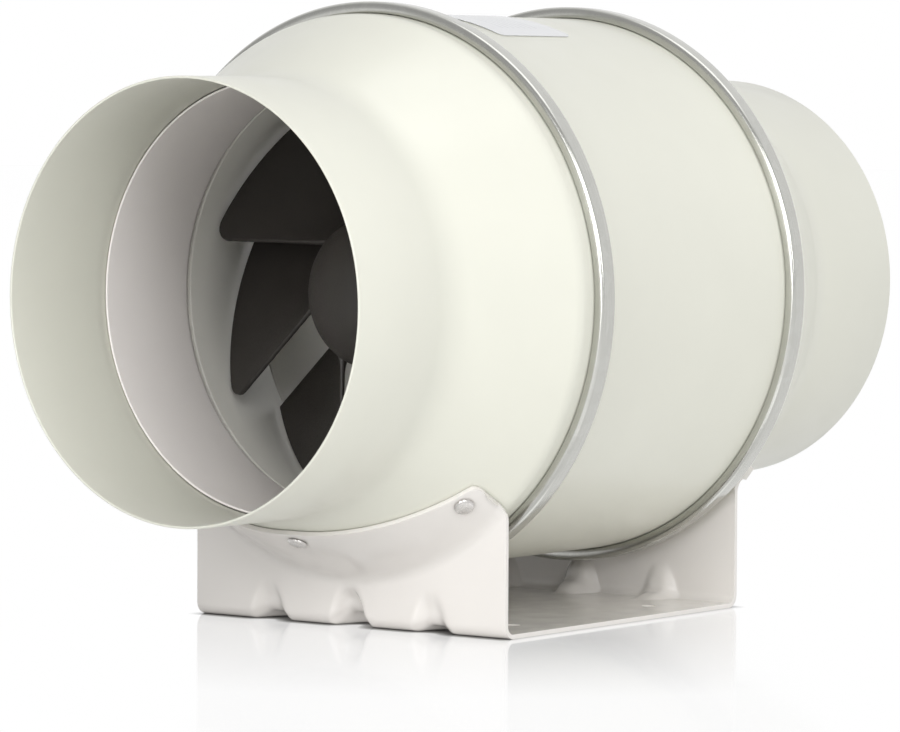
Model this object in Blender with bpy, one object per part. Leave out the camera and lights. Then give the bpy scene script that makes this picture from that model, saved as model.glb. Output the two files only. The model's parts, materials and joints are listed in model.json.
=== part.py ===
"""Inline mixed-flow duct fan for 200 mm round duct, as an assembly of its real pieces.

The air path runs along Y: the inlet spigot faces -Y and the outlet spigot +Y. Z is up, and the
origin is the middle of the base plate's underside. Lengths are in metres.
"""
import math

import bmesh
import bpy
from mathutils import Matrix, Vector

# ---------------------------------------------------------------- driving dimensions
SEGMENTS = 32                    # sides of every large ring; all share one phase, so gaps stay even
FINE = 20                        # sides of the motor's and the other middle-sized turned pieces
SMALL = 12                       # sides of screws, rivets and holes
GAP = 0.0003                     # clearance between pieces that touch in the real fan
HEX = 1 / math.cos(math.pi / 6)  # a hexagon's corner radius over its flat radius
WELD = 1e-6                      # distance under which two vertices are one
SMOOTH_ANGLE = math.radians(35)  # edges sharper than this stay sharp

AXIS_HEIGHT = 0.152              # fan axis above the floor
HALF_LENGTH = 0.215              # from the middle to each spigot rim
SPIGOT_RADIUS = 0.099            # takes a 200 mm duct
CASING_RADIUS = 0.1280
CASING_SHEET = 0.0012
CONE_START = 0.1483              # distance from the middle where the bowl's cone meets the spigot
CONE_END = 0.0915                # and where the cone meets the full casing radius
CONE_SLOPE = (CASING_RADIUS - SPIGOT_RADIUS) / (CONE_START - CONE_END)
CONE_ANGLE = math.atan(CONE_SLOPE)
JOINT = 0.078                    # distance from the middle to each clamped joint
FLANGE_RADIUS = 0.1315
GASKET = 0.0009

BAND_RADIUS = 0.1336
BAND_WIDTH = 0.010
BAND_SHEET = 0.0012
BAND_CHAMFER = 0.0014
BAND_LIP_RADIUS = 0.1284

THROAT_RADIUS = 0.097            # inner inlet ring at its front lip
THROAT_END_RADIUS = 0.100        # and where it curls out behind
INLET_RING_LIP = 0.150           # distance of the ring's front lip from the middle
RING_FLANGE = 0.0855             # distance of the inner rings' flanges from the middle
RING_FLANGE_RADIUS = 0.1261
RING_SHEET = 0.0012
RING_CURL = 0.004                # radius of the bend before the inner rings' flanges

SHROUD_FRONT, SHROUD_REAR = -0.084, -0.0205
SHROUD_FRONT_RADIUS, SHROUD_REAR_RADIUS = 0.1018, 0.1120
SHROUD_SHEET = 0.0020
VANE_RING_FRONT, VANE_RING_REAR = -0.020, 0.0842
VANE_COUNT = 9
VANE_HUB_RADIUS = 0.0605
VANE_SHEET = 0.0020
VANE_SEAT = 0.006                # thickness of the stator's seat behind the motor

BLADE_COUNT = 8
BLADE_SHEET = 0.0022
BLADE_FRONT, BLADE_REAR = -0.0705, -0.028
BLADE_SPAN_ANGLE = math.radians(46)   # how far round the axis one blade reaches
BLADE_OFFSET = 0.022             # the straight front edge passes the axis at this distance
BLADE_CORNER = 0.010             # radius of the front tip corner
TIP_CLEARANCE = 0.0020
HUB_FRONT, HUB_REAR = -0.0750, -0.022
HUB_FRONT_RADIUS, HUB_REAR_RADIUS = 0.035, 0.058
HUB_SHEET = 0.0025

NOSE_LENGTH = 0.020
HUB_WEB = 0.008                  # distance of the hub's web behind its front edge
HUB_WEB_SHEET = 0.003
HUB_BOSS_RADIUS = 0.011
HUB_BOSS_BACK = 0.004            # distance of the boss's rear end before the hub's rear edge

SHAFT_RADIUS = 0.005
BEARING_RADIUS, BEARING_WIDTH = 0.013, 0.008
MOTOR_RADIUS = 0.0570
MOTOR_FRONT, MOTOR_REAR = -0.014, 0.056
SHIELD = 0.0030                  # thickness of an end shield
SHIELD_BOSS = 0.0110             # depth of its bearing seat
SHIELD_LIP = 0.0015              # thickness of the lip that keeps the bearing in
MOTOR_SCREW_CIRCLE = 0.046
MOTOR_SCREW_COUNT = 3
MOTOR_SCREW_RADIUS, MOTOR_SCREW_HOLE_RADIUS = 0.0020, 0.0024
STATOR_FRONT, STATOR_REAR, STATOR_BORE = 0.006, 0.034, 0.032
WINDING_LENGTH, WINDING_INNER, WINDING_OUTER = 0.0105, 0.035, 0.046
ROTOR_RADIUS, ROTOR_OVERHANG = 0.0312, 0.002
TAIL_CONE_REAR, TAIL_CONE_SHEET = 0.128, 0.002

BASE_HALF_WIDTH = 0.089
BASE_HALF_LENGTH = 0.094         # to the outer face of each cheek
BASE_SHEET = 0.0020
BASE_BEND = 0.006                # outer radius of the bend between plate and cheek
CREASE_BEND = 0.004              # radius of the soft crease under the saddle
SADDLE_EDGE = (0.1067, 0.0045, 0.0085)    # axis distance: in the middle, and its rise to the ears
EAR_CORNER = 0.0035
SADDLE_NARROWING = 0.985         # the saddle's width at its edge over its width at the crease
GUSSET_SPACING = 0.0465
GUSSET_HALF_WIDTH = 0.011
GUSSET_REACH = 0.016
GUSSET_DEPTHS = (0.0052, 0.0080, 0.0042)
BASE_HOLE_RADIUS = 0.0035
BASE_HOLES = (0.065, 0.055)

RIVET_HEAD_RADIUS, RIVET_HEAD_HEIGHT = 0.0047, 0.0016
RIVET_SHANK_RADIUS, RIVET_HOLE_RADIUS = 0.0024, 0.0028
RIVET_DISTANCES = (0.1300, 0.1106)    # from the middle: the bottom rivet and the two at the ears
RIVET_EAR_ANGLE = math.radians(40.8)

LUG_HEIGHT, LUG_SHEET = 0.017, 0.0025
LUG_WIDTH = BAND_WIDTH - 0.0002
CLAMP_ANGLE = math.radians(180 + 180 / SEGMENTS)    # the closure sits in one ring segment's gap
BOLT_RADIUS, BOLT_HOLE_RADIUS = 0.0030, 0.0036
BOLT_HEAD_RADIUS, BOLT_HEAD, BOLT_NUT = 0.0057, 0.004, 0.005
BOLT_DROP = 0.0065               # distance of the bolt below the lugs' tips

BOX_HALF_Y, BOX_HALF_Z = 0.042, 0.032
BOX_MOUTH, BOX_FLOOR, BOX_BACK, BOX_WALL = -0.1645, -0.1330, -0.1185, 0.0025
BOX_BOSS = 0.0085                # side of the screw boss in each corner of the box
BOX_SEAL, BOX_LID = 0.0010, 0.0045
LID_SCREW_INSET = 0.0055
LID_SCREW_RADIUS, LID_SCREW_DEPTH = 0.0016, 0.009
LEAD_Y, LEAD_RADIUS, LEAD_HOLE_RADIUS = 0.022, 0.0035, 0.0080
LEAD_PASSAGE_RADIUS = LEAD_RADIUS + 0.0012
GROMMET_DEPTH, GROMMET_PLAY = 0.0030, 0.0004    # how far it reaches inside, and its clearance
GLAND_X, GLAND_Y, GLAND_RADIUS = -0.1495, 0.020, 0.0090
GLAND_BORE = 0.0045
GLAND_FLANGE, GLAND_FLANGE_RADIUS = 0.006, 0.0125
GLAND_BARREL, GLAND_BARREL_RADIUS = 0.015, 0.0085
GLAND_CAP_LIP, GLAND_CAP_STEP, GLAND_CAP_END = 0.0175, 0.018, 0.0225    # from the box's wall
GLAND_CAP_RADIUS, GLAND_CAP_END_RADIUS, GLAND_CAP_MOUTH = 0.0120, 0.0090, 0.0050
GLAND_SEAL_PLAY, GLAND_SEAL_BORE = 0.0002, 0.0040
BLOCK_DEPTH, BLOCK_Y, BLOCK_Z = 0.014, (-0.030, 0.006), (-0.0215, -0.0055)
CAPACITOR_RADIUS, CAPACITOR_Y, CAPACITOR_Z = 0.0120, (-0.030, 0.015), 0.0145
LABEL_FRONT, LABEL_REAR, LABEL_FILM = -0.045, 0.011, 0.0003

# ---------------------------------------------------------------- materials
PAINTS = {
    "casing_paint": ((0.80, 0.80, 0.72), 0.35, 0.0),
    "bracket_paint": ((0.83, 0.81, 0.78), 0.28, 0.0),
    "liner_paint": ((0.80, 0.78, 0.76), 0.30, 0.0),
    "galvanised_steel": ((0.52, 0.53, 0.50), 0.32, 1.0),
    "zinc_screw": ((0.60, 0.60, 0.58), 0.30, 1.0),
    "bright_rivet": ((0.68, 0.67, 0.65), 0.30, 1.0),
    "charcoal_plastic": ((0.030, 0.027, 0.026), 0.45, 0.0),
    "liner_plastic": ((0.74, 0.73, 0.70), 0.35, 0.0),
    "motor_alloy": ((0.55, 0.56, 0.57), 0.45, 1.0),
    "lamination_steel": ((0.22, 0.22, 0.23), 0.50, 1.0),
    "copper_winding": ((0.55, 0.22, 0.09), 0.40, 1.0),
    "ground_steel": ((0.62, 0.62, 0.62), 0.22, 1.0),
    "black_rubber": ((0.020, 0.020, 0.020), 0.70, 0.0),
    "box_plastic": ((0.045, 0.046, 0.048), 0.50, 0.0),
    "terminal_plastic": ((0.75, 0.74, 0.66), 0.45, 0.0),
    "capacitor_case": ((0.62, 0.63, 0.64), 0.40, 0.0),
    "label_film": ((0.86, 0.87, 0.88), 0.30, 0.0),
}


def make_material(name):
    """One Principled material with a paint's colour, roughness and metallic value."""
    colour, roughness, metallic = PAINTS[name]
    material = bpy.data.materials.new(name)
    material.use_nodes = True
    shader = material.node_tree.nodes["Principled BSDF"]
    shader.inputs["Base Color"].default_value = (*colour, 1.0)
    shader.inputs["Roughness"].default_value = roughness
    shader.inputs["Metallic"].default_value = metallic
    material.diffuse_color = (*colour, 1.0)
    return material


# ---------------------------------------------------------------- outlines, as (y, r) points
def rounded(points, radii, steps):
    """Replace each inner corner of an outline by an arc of its radius."""
    line = [Vector(points[0])]
    for before, corner, after, radius in zip(points, points[1:], points[2:], radii):
        before, corner, after = Vector(before), Vector(corner), Vector(after)
        if not radius:
            line.append(corner)
            continue
        arm_in, arm_out = (before - corner).normalized(), (after - corner).normalized()
        half = arm_in.angle(arm_out) / 2
        centre = corner + (arm_in + arm_out).normalized() * radius / math.sin(half)
        start = corner + arm_in * radius / math.tan(half) - centre
        turn = start.angle_signed(corner + arm_out * radius / math.tan(half) - centre)
        for step in range(steps + 1):
            line.append(centre + Matrix.Rotation(-turn * step / steps, 2) @ start)
    line.append(Vector(points[-1]))
    return line


def offset_line(line, distance):
    """The line moved sideways by a distance, with mitred corners."""
    moved = []
    for index, point in enumerate(line):
        before = point - line[index - 1] if index else line[1] - point
        after = line[index + 1] - point if index + 1 < len(line) else before
        normal_in = Vector((-before.y, before.x)).normalized()
        normal_out = Vector((-after.y, after.x)).normalized()
        middle = (normal_in + normal_out).normalized()
        moved.append(point + middle * distance / middle.dot(normal_in))
    return moved


def sheet_outline(points, thickness, radii=None, steps=2):
    """The closed outline of a bent sheet whose outer side follows the points."""
    outer = rounded(points, radii or [0.0] * (len(points) - 2), steps)
    return outer + offset_line(outer, -thickness)[::-1]


def mirrored(points):
    """The same outline for the other end of the fan."""
    return [Vector((-y, r)) for y, r in points]


def shroud_radius(y):
    """Inner radius of the impeller shroud at a station along the axis."""
    share = (y - SHROUD_FRONT) / (SHROUD_REAR - SHROUD_FRONT)
    share = min(max(share, 0.0), 1.0)
    return SHROUD_FRONT_RADIUS + (SHROUD_REAR_RADIUS - SHROUD_FRONT_RADIUS) * share


def hub_radius(y):
    """Outer radius of the impeller's cone at a station along the axis."""
    share = (y - HUB_FRONT) / (HUB_REAR - HUB_FRONT)
    return HUB_FRONT_RADIUS + (HUB_REAR_RADIUS - HUB_FRONT_RADIUS) * share


# ---------------------------------------------------------------- mesh makers
def lathe(points, segments=SEGMENTS, closed=True):
    """A solid turned about Y from an outline; an open outline starts and ends on the axis."""
    bm = bmesh.new()
    verts = [bm.verts.new((r, y, 0.0)) for y, r in points]
    pairs = list(zip(verts, verts[1:]))
    if closed:
        pairs.append((verts[-1], verts[0]))
    edges = [bm.edges.new(pair) for pair in pairs]
    bmesh.ops.spin(bm, geom=verts + edges, cent=(0, 0, 0), axis=(0, 1, 0), angle=math.tau,
                   steps=segments, use_merge=True, use_duplicate=False)
    return tidy(bm)


def tidy(bm):
    """Weld doubles and turn every face outward."""
    bmesh.ops.remove_doubles(bm, verts=bm.verts, dist=WELD)
    bmesh.ops.recalc_face_normals(bm, faces=bm.faces)
    return bm


def box(low, high, bevel=0.0):
    """A box between two corners, with its upright and lying edges chamfered if asked."""
    bm = bmesh.new()
    bmesh.ops.create_cube(bm, size=1.0)
    low, high = Vector(low), Vector(high)
    bmesh.ops.scale(bm, verts=bm.verts, vec=high - low)
    bmesh.ops.translate(bm, verts=bm.verts, vec=(low + high) / 2)
    if bevel:
        bmesh.ops.bevel(bm, geom=bm.edges[:], offset=bevel, segments=1, affect="EDGES")
    return bm


def rod(start, end, radius, segments=SMALL, end_radius=None):
    """A straight round or many-sided bar between two points."""
    start, end = Vector(start), Vector(end)
    bm = bmesh.new()
    bmesh.ops.create_cone(bm, cap_ends=True, segments=segments, radius1=radius,
                          radius2=radius if end_radius is None else end_radius,
                          depth=(end - start).length)
    turn = (end - start).to_track_quat("Z", "Y").to_matrix().to_4x4()
    bmesh.ops.transform(bm, matrix=Matrix.Translation((start + end) / 2) @ turn, verts=bm.verts)
    return bm


def grid(rows):
    """An open sheet through rows of points."""
    bm = bmesh.new()
    lines = [[bm.verts.new(point) for point in row] for row in rows]
    for lower, upper in zip(lines, lines[1:]):
        for a, b, c, d in zip(lower, lower[1:], upper[1:], upper):
            bm.faces.new((a, b, c, d))
    return bm


def merged(*parts):
    """Several meshes in one, still as separate bodies."""
    bm = bmesh.new()
    for part in parts:
        mesh = bpy.data.meshes.new("part")
        part.to_mesh(mesh)
        part.free()
        bm.from_mesh(mesh)
        bpy.data.meshes.remove(mesh)
    return bm


# ---------------------------------------------------------------- objects
def add_piece(name, bm, material, parent=None, location=(0, 0, 0)):
    """Put a mesh in the scene as one named piece."""
    mesh = bpy.data.meshes.new(name)
    bm.to_mesh(mesh)
    bm.free()
    mesh.shade_smooth()
    mesh.set_sharp_from_angle(angle=SMOOTH_ANGLE)
    mesh.materials.append(MATERIALS[material])
    piece = bpy.data.objects.new(name, mesh)
    piece.parent = parent
    piece.location = location
    bpy.context.scene.collection.objects.link(piece)
    return piece


def add_tool(name, bm, parent=None):
    """A hidden shape that a Boolean cuts with or joins on."""
    tool = add_piece(name, bm, "box_plastic", parent)
    tool.hide_render = True
    tool.display_type = "WIRE"
    return tool


def combine(piece, tool, operation):
    """Join or cut a piece with a hidden tool."""
    modifier = piece.modifiers.new(operation.lower() + "_" + tool.name, "BOOLEAN")
    modifier.operation = operation
    modifier.solver = "EXACT"
    modifier.object = tool


def thicken(piece, thickness, offset=0.0, even=True):
    """Give an open sheet its thickness; even keeps it in the bends."""
    modifier = piece.modifiers.new("sheet", "SOLIDIFY")
    modifier.thickness = thickness
    modifier.offset = offset
    modifier.use_even_offset = even


# ---------------------------------------------------------------- casing
def casing_end_points():
    """Outer side of the inlet casing: spigot, cone, short cylinder and flange."""
    flange_face = -JOINT - GASKET / 2 - GAP - CASING_SHEET
    points = [(-HALF_LENGTH, SPIGOT_RADIUS), (-CONE_START, SPIGOT_RADIUS),
              (-CONE_END, CASING_RADIUS), (flange_face, CASING_RADIUS),
              (flange_face, FLANGE_RADIUS)]
    return sheet_outline(points, CASING_SHEET, radii=[0.040, 0.014, 0.0])


def add_casing(axis):
    """Inlet casing, centre casing and outlet casing, with a gasket at each joint."""
    add_piece("inlet_casing", lathe(casing_end_points()), "casing_paint", axis)
    add_piece("outlet_casing", lathe(mirrored(casing_end_points())), "casing_paint", axis)

    flange = JOINT - GASKET / 2 - GAP - CASING_SHEET
    points = [(-flange, FLANGE_RADIUS), (-flange, CASING_RADIUS),
              (flange, CASING_RADIUS), (flange, FLANGE_RADIUS)]
    centre = add_piece("centre_casing", lathe(sheet_outline(points, CASING_SHEET)),
                       "casing_paint", axis)
    hole = rod((-CASING_RADIUS - 0.01, LEAD_Y, 0), (-CASING_RADIUS + 0.01, LEAD_Y, 0),
               LEAD_HOLE_RADIUS)
    combine(centre, add_tool("casing_lead_hole", hole, axis), "DIFFERENCE")

    for name, side in (("front_gasket", -1), ("rear_gasket", 1)):
        low, high = side * JOINT - GASKET / 2, side * JOINT + GASKET / 2
        inner, outer = CASING_RADIUS, FLANGE_RADIUS
        section = [(low, inner), (low, outer), (high, outer), (high, inner)]
        add_piece(name, lathe(section), "black_rubber", axis)


# ---------------------------------------------------------------- clamp bands
def clamp_frame(side):
    """Maps x along the closure's bolt, y along the fan and z outward, to the fan's axis frame."""
    outward = Vector((math.cos(CLAMP_ANGLE), 0, math.sin(CLAMP_ANGLE)))
    along = Vector((0, 1, 0)).cross(outward)
    turn = Matrix((along, (0, 1, 0), outward)).transposed().to_4x4()
    return Matrix.Translation((0, side * JOINT, 0)) @ turn


def band_ring():
    """The open channel ring, one segment short of a full turn, centred on y = 0."""
    half, chamfer = BAND_WIDTH / 2, BAND_CHAMFER
    outer = [(-half, BAND_LIP_RADIUS), (-half, BAND_RADIUS - chamfer),
             (-half + chamfer, BAND_RADIUS), (half - chamfer, BAND_RADIUS),
             (half, BAND_RADIUS - chamfer), (half, BAND_LIP_RADIUS)]
    outer = [Vector(point) for point in outer]
    section = outer + offset_line(outer, -BAND_SHEET)[::-1]
    step = math.tau / SEGMENTS
    bm = bmesh.new()
    first = [bm.verts.new((r, y, 0.0)) for y, r in section]
    edges = [bm.edges.new(pair) for pair in zip(first, first[1:] + first[:1])]
    bmesh.ops.rotate(bm, verts=first, cent=(0, 0, 0),
                     matrix=Matrix.Rotation(-CLAMP_ANGLE - step / 2, 3, "Y"))
    bmesh.ops.spin(bm, geom=first + edges, cent=(0, 0, 0), axis=(0, 1, 0),
                   angle=-(math.tau - step), steps=SEGMENTS - 1, use_duplicate=False)
    bmesh.ops.holes_fill(bm, edges=[edge for edge in bm.edges if edge.is_boundary])
    return tidy(bm)


def add_clamp(prefix, side, axis):
    """One clamp band with its two lugs, and the bolt and nut that close it."""
    gap_half = BAND_RADIUS * math.sin(math.pi / SEGMENTS)
    frame = clamp_frame(side)
    inner = gap_half - 0.0004
    lug_low = FLANGE_RADIUS + 2 * GAP
    lug_high = BAND_RADIUS + LUG_HEIGHT
    bolt_height = lug_high - BOLT_DROP
    lugs = []
    for direction in (-1, 1):
        ends = sorted((direction * inner, direction * (inner + LUG_SHEET)))
        lugs.append(box((ends[0], -LUG_WIDTH / 2, lug_low), (ends[1], LUG_WIDTH / 2, lug_high)))
    lug_tool = merged(*lugs)
    bmesh.ops.transform(lug_tool, matrix=frame, verts=lug_tool.verts)
    band_mesh = band_ring()
    bmesh.ops.translate(band_mesh, verts=band_mesh.verts, vec=(0, side * JOINT, 0))
    band = add_piece(prefix + "_clamp_band", band_mesh, "galvanised_steel", axis)
    combine(band, add_tool(prefix + "_lugs", lug_tool, axis), "UNION")
    reach = inner + LUG_SHEET
    hole = rod((-reach - 0.004, 0, bolt_height), (reach + 0.004, 0, bolt_height),
               BOLT_HOLE_RADIUS)
    bmesh.ops.transform(hole, matrix=frame, verts=hole.verts)
    combine(band, add_tool(prefix + "_lug_holes", hole, axis), "DIFFERENCE")

    head, nut = reach + GAP, -reach - GAP
    tail = nut - BOLT_NUT - 0.003
    bolt_profile = [(tail, 0), (tail, BOLT_RADIUS), (head, BOLT_RADIUS),
                    (head, BOLT_HEAD_RADIUS), (head + BOLT_HEAD, BOLT_HEAD_RADIUS),
                    (head + BOLT_HEAD, 0)]
    thread = (BOLT_RADIUS + GAP) * HEX
    nut_profile = [(nut - BOLT_NUT, thread), (nut - BOLT_NUT, BOLT_HEAD_RADIUS),
                   (nut, BOLT_HEAD_RADIUS), (nut, thread)]
    for name, profile, closed in (("bolt", bolt_profile, False), ("nut", nut_profile, True)):
        piece = lathe(profile, segments=6 if name == "nut" else SMALL, closed=closed)
        along_bolt = Matrix.Translation((0, 0, bolt_height)) @ Matrix.Rotation(-math.pi / 2, 4, "Z")
        bmesh.ops.transform(piece, matrix=frame @ along_bolt, verts=piece.verts)
        add_piece(f"{prefix}_clamp_{name}", piece, "zinc_screw", axis)


# ---------------------------------------------------------------- inner liners
def add_liners(axis):
    """The inner inlet ring and outlet ring, which carry the air between spigot and impeller."""
    curl, rim = RING_CURL, RING_FLANGE_RADIUS
    inlet = [(-INLET_RING_LIP, THROAT_RADIUS + RING_SHEET),
             (-RING_FLANGE - RING_SHEET, THROAT_END_RADIUS + RING_SHEET),
             (-RING_FLANGE - RING_SHEET, rim)]
    add_piece("inlet_ring", lathe(sheet_outline(inlet, RING_SHEET, radii=[curl])),
              "liner_paint", axis)
    outlet = [(-INLET_RING_LIP, THROAT_RADIUS + RING_SHEET),
              (-RING_FLANGE - RING_SHEET, SHROUD_REAR_RADIUS + RING_SHEET),
              (-RING_FLANGE - RING_SHEET, rim)]
    outlet = sheet_outline(outlet, RING_SHEET, radii=[curl])
    add_piece("outlet_ring", lathe(mirrored(outlet)), "liner_paint", axis)

    flange = SHROUD_FRONT + SHROUD_SHEET
    shroud = [(SHROUD_FRONT, rim), (SHROUD_FRONT, SHROUD_FRONT_RADIUS),
              (SHROUD_REAR, SHROUD_REAR_RADIUS),
              (SHROUD_REAR, SHROUD_REAR_RADIUS + SHROUD_SHEET),
              (flange, SHROUD_FRONT_RADIUS + SHROUD_SHEET), (flange, rim)]
    add_piece("impeller_shroud", lathe(shroud), "liner_plastic", axis)


def add_guide_vanes(axis):
    """The stator: outer ring with rear flange, hub ring with motor seat, and swept vanes."""
    inner, outer = SHROUD_REAR_RADIUS, SHROUD_REAR_RADIUS + SHROUD_SHEET
    front, rear = VANE_RING_FRONT + GAP, VANE_RING_REAR
    ring = [(front, inner), (rear, inner), (rear, RING_FLANGE_RADIUS),
            (rear - SHROUD_SHEET, RING_FLANGE_RADIUS), (rear - SHROUD_SHEET, outer),
            (front, outer)]
    piece = add_piece("guide_vane_ring", lathe(ring), "liner_plastic", axis)

    seat = MOTOR_REAR + GAP
    hub_inner = VANE_HUB_RADIUS - VANE_SHEET
    hub = [(front + 0.006, hub_inner), (front + 0.006, VANE_HUB_RADIUS),
           (seat + VANE_SEAT, VANE_HUB_RADIUS), (seat + VANE_SEAT, 0.036), (seat, 0.036),
           (seat, hub_inner)]
    combine(piece, add_tool("vane_hub", lathe(hub, FINE), axis), "UNION")

    vane_front, vane_rear = front + 0.010, seat + 0.004
    low, high = VANE_HUB_RADIUS - VANE_SHEET / 2, inner + SHROUD_SHEET / 2
    sheets = []
    for number in range(VANE_COUNT):
        start = math.tau * number / VANE_COUNT
        rows = []
        for row in range(5):
            share = row / 4
            angle = start + math.radians(26) * (1 - share) ** 2
            y = vane_front + (vane_rear - vane_front) * share
            rows.append([(r * math.cos(angle), y, r * math.sin(angle)) for r in (low, high)])
        sheets.append(grid(rows))
    vanes = add_tool("vane_sheets", merged(*sheets), axis)
    thicken(vanes, VANE_SHEET)
    combine(piece, vanes, "UNION")

    hole = rod((-outer - 0.004, LEAD_Y, 0), (-hub_inner + 0.004, LEAD_Y, 0),
               LEAD_PASSAGE_RADIUS)
    combine(piece, add_tool("vane_lead_hole", hole, axis), "DIFFERENCE")
    seat_holes = motor_screw_rods(seat - 0.002, seat + 0.008, MOTOR_SCREW_HOLE_RADIUS)
    combine(piece, add_tool("seat_screw_holes", seat_holes, axis), "DIFFERENCE")


# ---------------------------------------------------------------- motor
def motor_screw_places():
    """Points round the axis where the motor's screws go, clear of the lead."""
    for number in range(MOTOR_SCREW_COUNT):
        angle = math.tau * number / MOTOR_SCREW_COUNT
        yield MOTOR_SCREW_CIRCLE * math.cos(angle), MOTOR_SCREW_CIRCLE * math.sin(angle)


def motor_screw_rods(start, end, radius):
    """One round bar for each motor screw, from one station to another."""
    return merged(*[rod((x, start, z), (x, end, z), radius) for x, z in motor_screw_places()])


def add_motor(axis):
    """The still half of the motor: housing, end shields, core, windings, bearings, screws."""
    bore = MOTOR_RADIUS - SHIELD
    tube = [(MOTOR_FRONT + SHIELD + GAP, bore), (MOTOR_FRONT + SHIELD + GAP, MOTOR_RADIUS),
            (MOTOR_REAR - SHIELD - GAP, MOTOR_RADIUS), (MOTOR_REAR - SHIELD - GAP, bore)]
    housing = add_piece("motor_housing", lathe(tube, FINE), "motor_alloy", axis)
    hole = rod((-MOTOR_RADIUS - 0.004, LEAD_Y, 0), (-bore + 0.004, LEAD_Y, 0),
               LEAD_PASSAGE_RADIUS)
    combine(housing, add_tool("housing_lead_hole", hole, axis), "DIFFERENCE")

    seat = BEARING_RADIUS + GAP
    passage = SHAFT_RADIUS + 0.0015
    for name, outside, inward in (("front", MOTOR_FRONT, 1), ("rear", MOTOR_REAR, -1)):
        inside = outside + inward * SHIELD
        boss_end = outside + inward * SHIELD_BOSS
        lip = outside + inward * SHIELD_LIP
        section = [(outside, passage), (outside, MOTOR_RADIUS), (inside, MOTOR_RADIUS),
                   (inside, seat + 0.0025), (boss_end, seat + 0.0025), (boss_end, seat),
                   (lip, seat), (lip, passage)]
        shield = add_piece(f"motor_{name}_shield", lathe(section, FINE), "motor_alloy", axis)
        if name == "rear":
            holes = motor_screw_rods(MOTOR_REAR - 0.006, MOTOR_REAR + 0.002,
                                     MOTOR_SCREW_HOLE_RADIUS)
            combine(shield, add_tool("shield_screw_holes", holes, axis), "DIFFERENCE")
        ring = sorted((lip + inward * GAP, lip + inward * (GAP + BEARING_WIDTH)))
        section = [(ring[0], SHAFT_RADIUS + GAP), (ring[0], BEARING_RADIUS),
                   (ring[1], BEARING_RADIUS), (ring[1], SHAFT_RADIUS + GAP)]
        add_piece(f"{name}_bearing", lathe(section, FINE), "ground_steel", axis)

    section = [(STATOR_FRONT, STATOR_BORE), (STATOR_FRONT, bore - GAP),
               (STATOR_REAR, bore - GAP), (STATOR_REAR, STATOR_BORE)]
    add_piece("stator_core", lathe(section, FINE), "lamination_steel", axis)
    for name, low, high in (("front", STATOR_FRONT - WINDING_LENGTH, STATOR_FRONT - GAP),
                            ("rear", STATOR_REAR + GAP, STATOR_REAR + WINDING_LENGTH)):
        section = [(low, WINDING_INNER), (low, WINDING_OUTER), (high, WINDING_OUTER),
                   (high, WINDING_INNER)]
        add_piece(f"{name}_winding", lathe(section, FINE), "copper_winding", axis)

    foot, head = MOTOR_REAR - 0.0025, MOTOR_REAR + VANE_SEAT + 2 * GAP
    profile = [(foot, 0), (foot, MOTOR_SCREW_RADIUS), (head, MOTOR_SCREW_RADIUS),
               (head, 0.0036), (head + 0.0024, 0.0030), (head + 0.0024, 0)]
    for number, (x, z) in enumerate(motor_screw_places(), 1):
        screw = lathe(profile, SMALL, closed=False)
        bmesh.ops.translate(screw, verts=screw.verts, vec=(x, 0, z))
        add_piece(f"motor_screw_{number}", screw, "zinc_screw", axis)

    cone = rounded([(MOTOR_REAR + VANE_SEAT + 0.0028, VANE_HUB_RADIUS - 0.0005), (0.088, 0.058),
                    (TAIL_CONE_REAR - 0.006, 0.028), (TAIL_CONE_REAR, 0.0)], [0.030, 0.016], 2)
    inside = offset_line(cone[:-1], -TAIL_CONE_SHEET)
    inside.append(Vector((TAIL_CONE_REAR - TAIL_CONE_SHEET, 0.0)))
    add_piece("tail_cone", lathe(cone + inside[::-1], FINE), "liner_plastic", axis)


def blade_sheet(number):
    """Middle surface of one impeller blade, from the hub's wall to the tip."""
    turn = math.pi + math.tau * number / BLADE_COUNT
    shares = (0.0, 0.03, 0.10, 0.30, 0.65, 1.0)
    chord = BLADE_SPAN_ANGLE * SPIGOT_RADIUS
    rows = []
    for share in shares:
        y = BLADE_FRONT + (BLADE_REAR - BLADE_FRONT) * share
        into_corner = 1 - min(share * chord / BLADE_CORNER, 1.0)
        cut = BLADE_CORNER * (1 - math.sqrt(1 - into_corner ** 2))
        tip = shroud_radius(y) - TIP_CLEARANCE - cut
        root = hub_radius(y) - HUB_SHEET / 2
        row = []
        for step in range(4):
            r = root + (tip - root) * step / 3
            angle = turn - math.asin(BLADE_OFFSET / r) - BLADE_SPAN_ANGLE * share
            row.append((r * math.cos(angle), y, r * math.sin(angle)))
        rows.append(row)
    return grid(rows)


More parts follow.
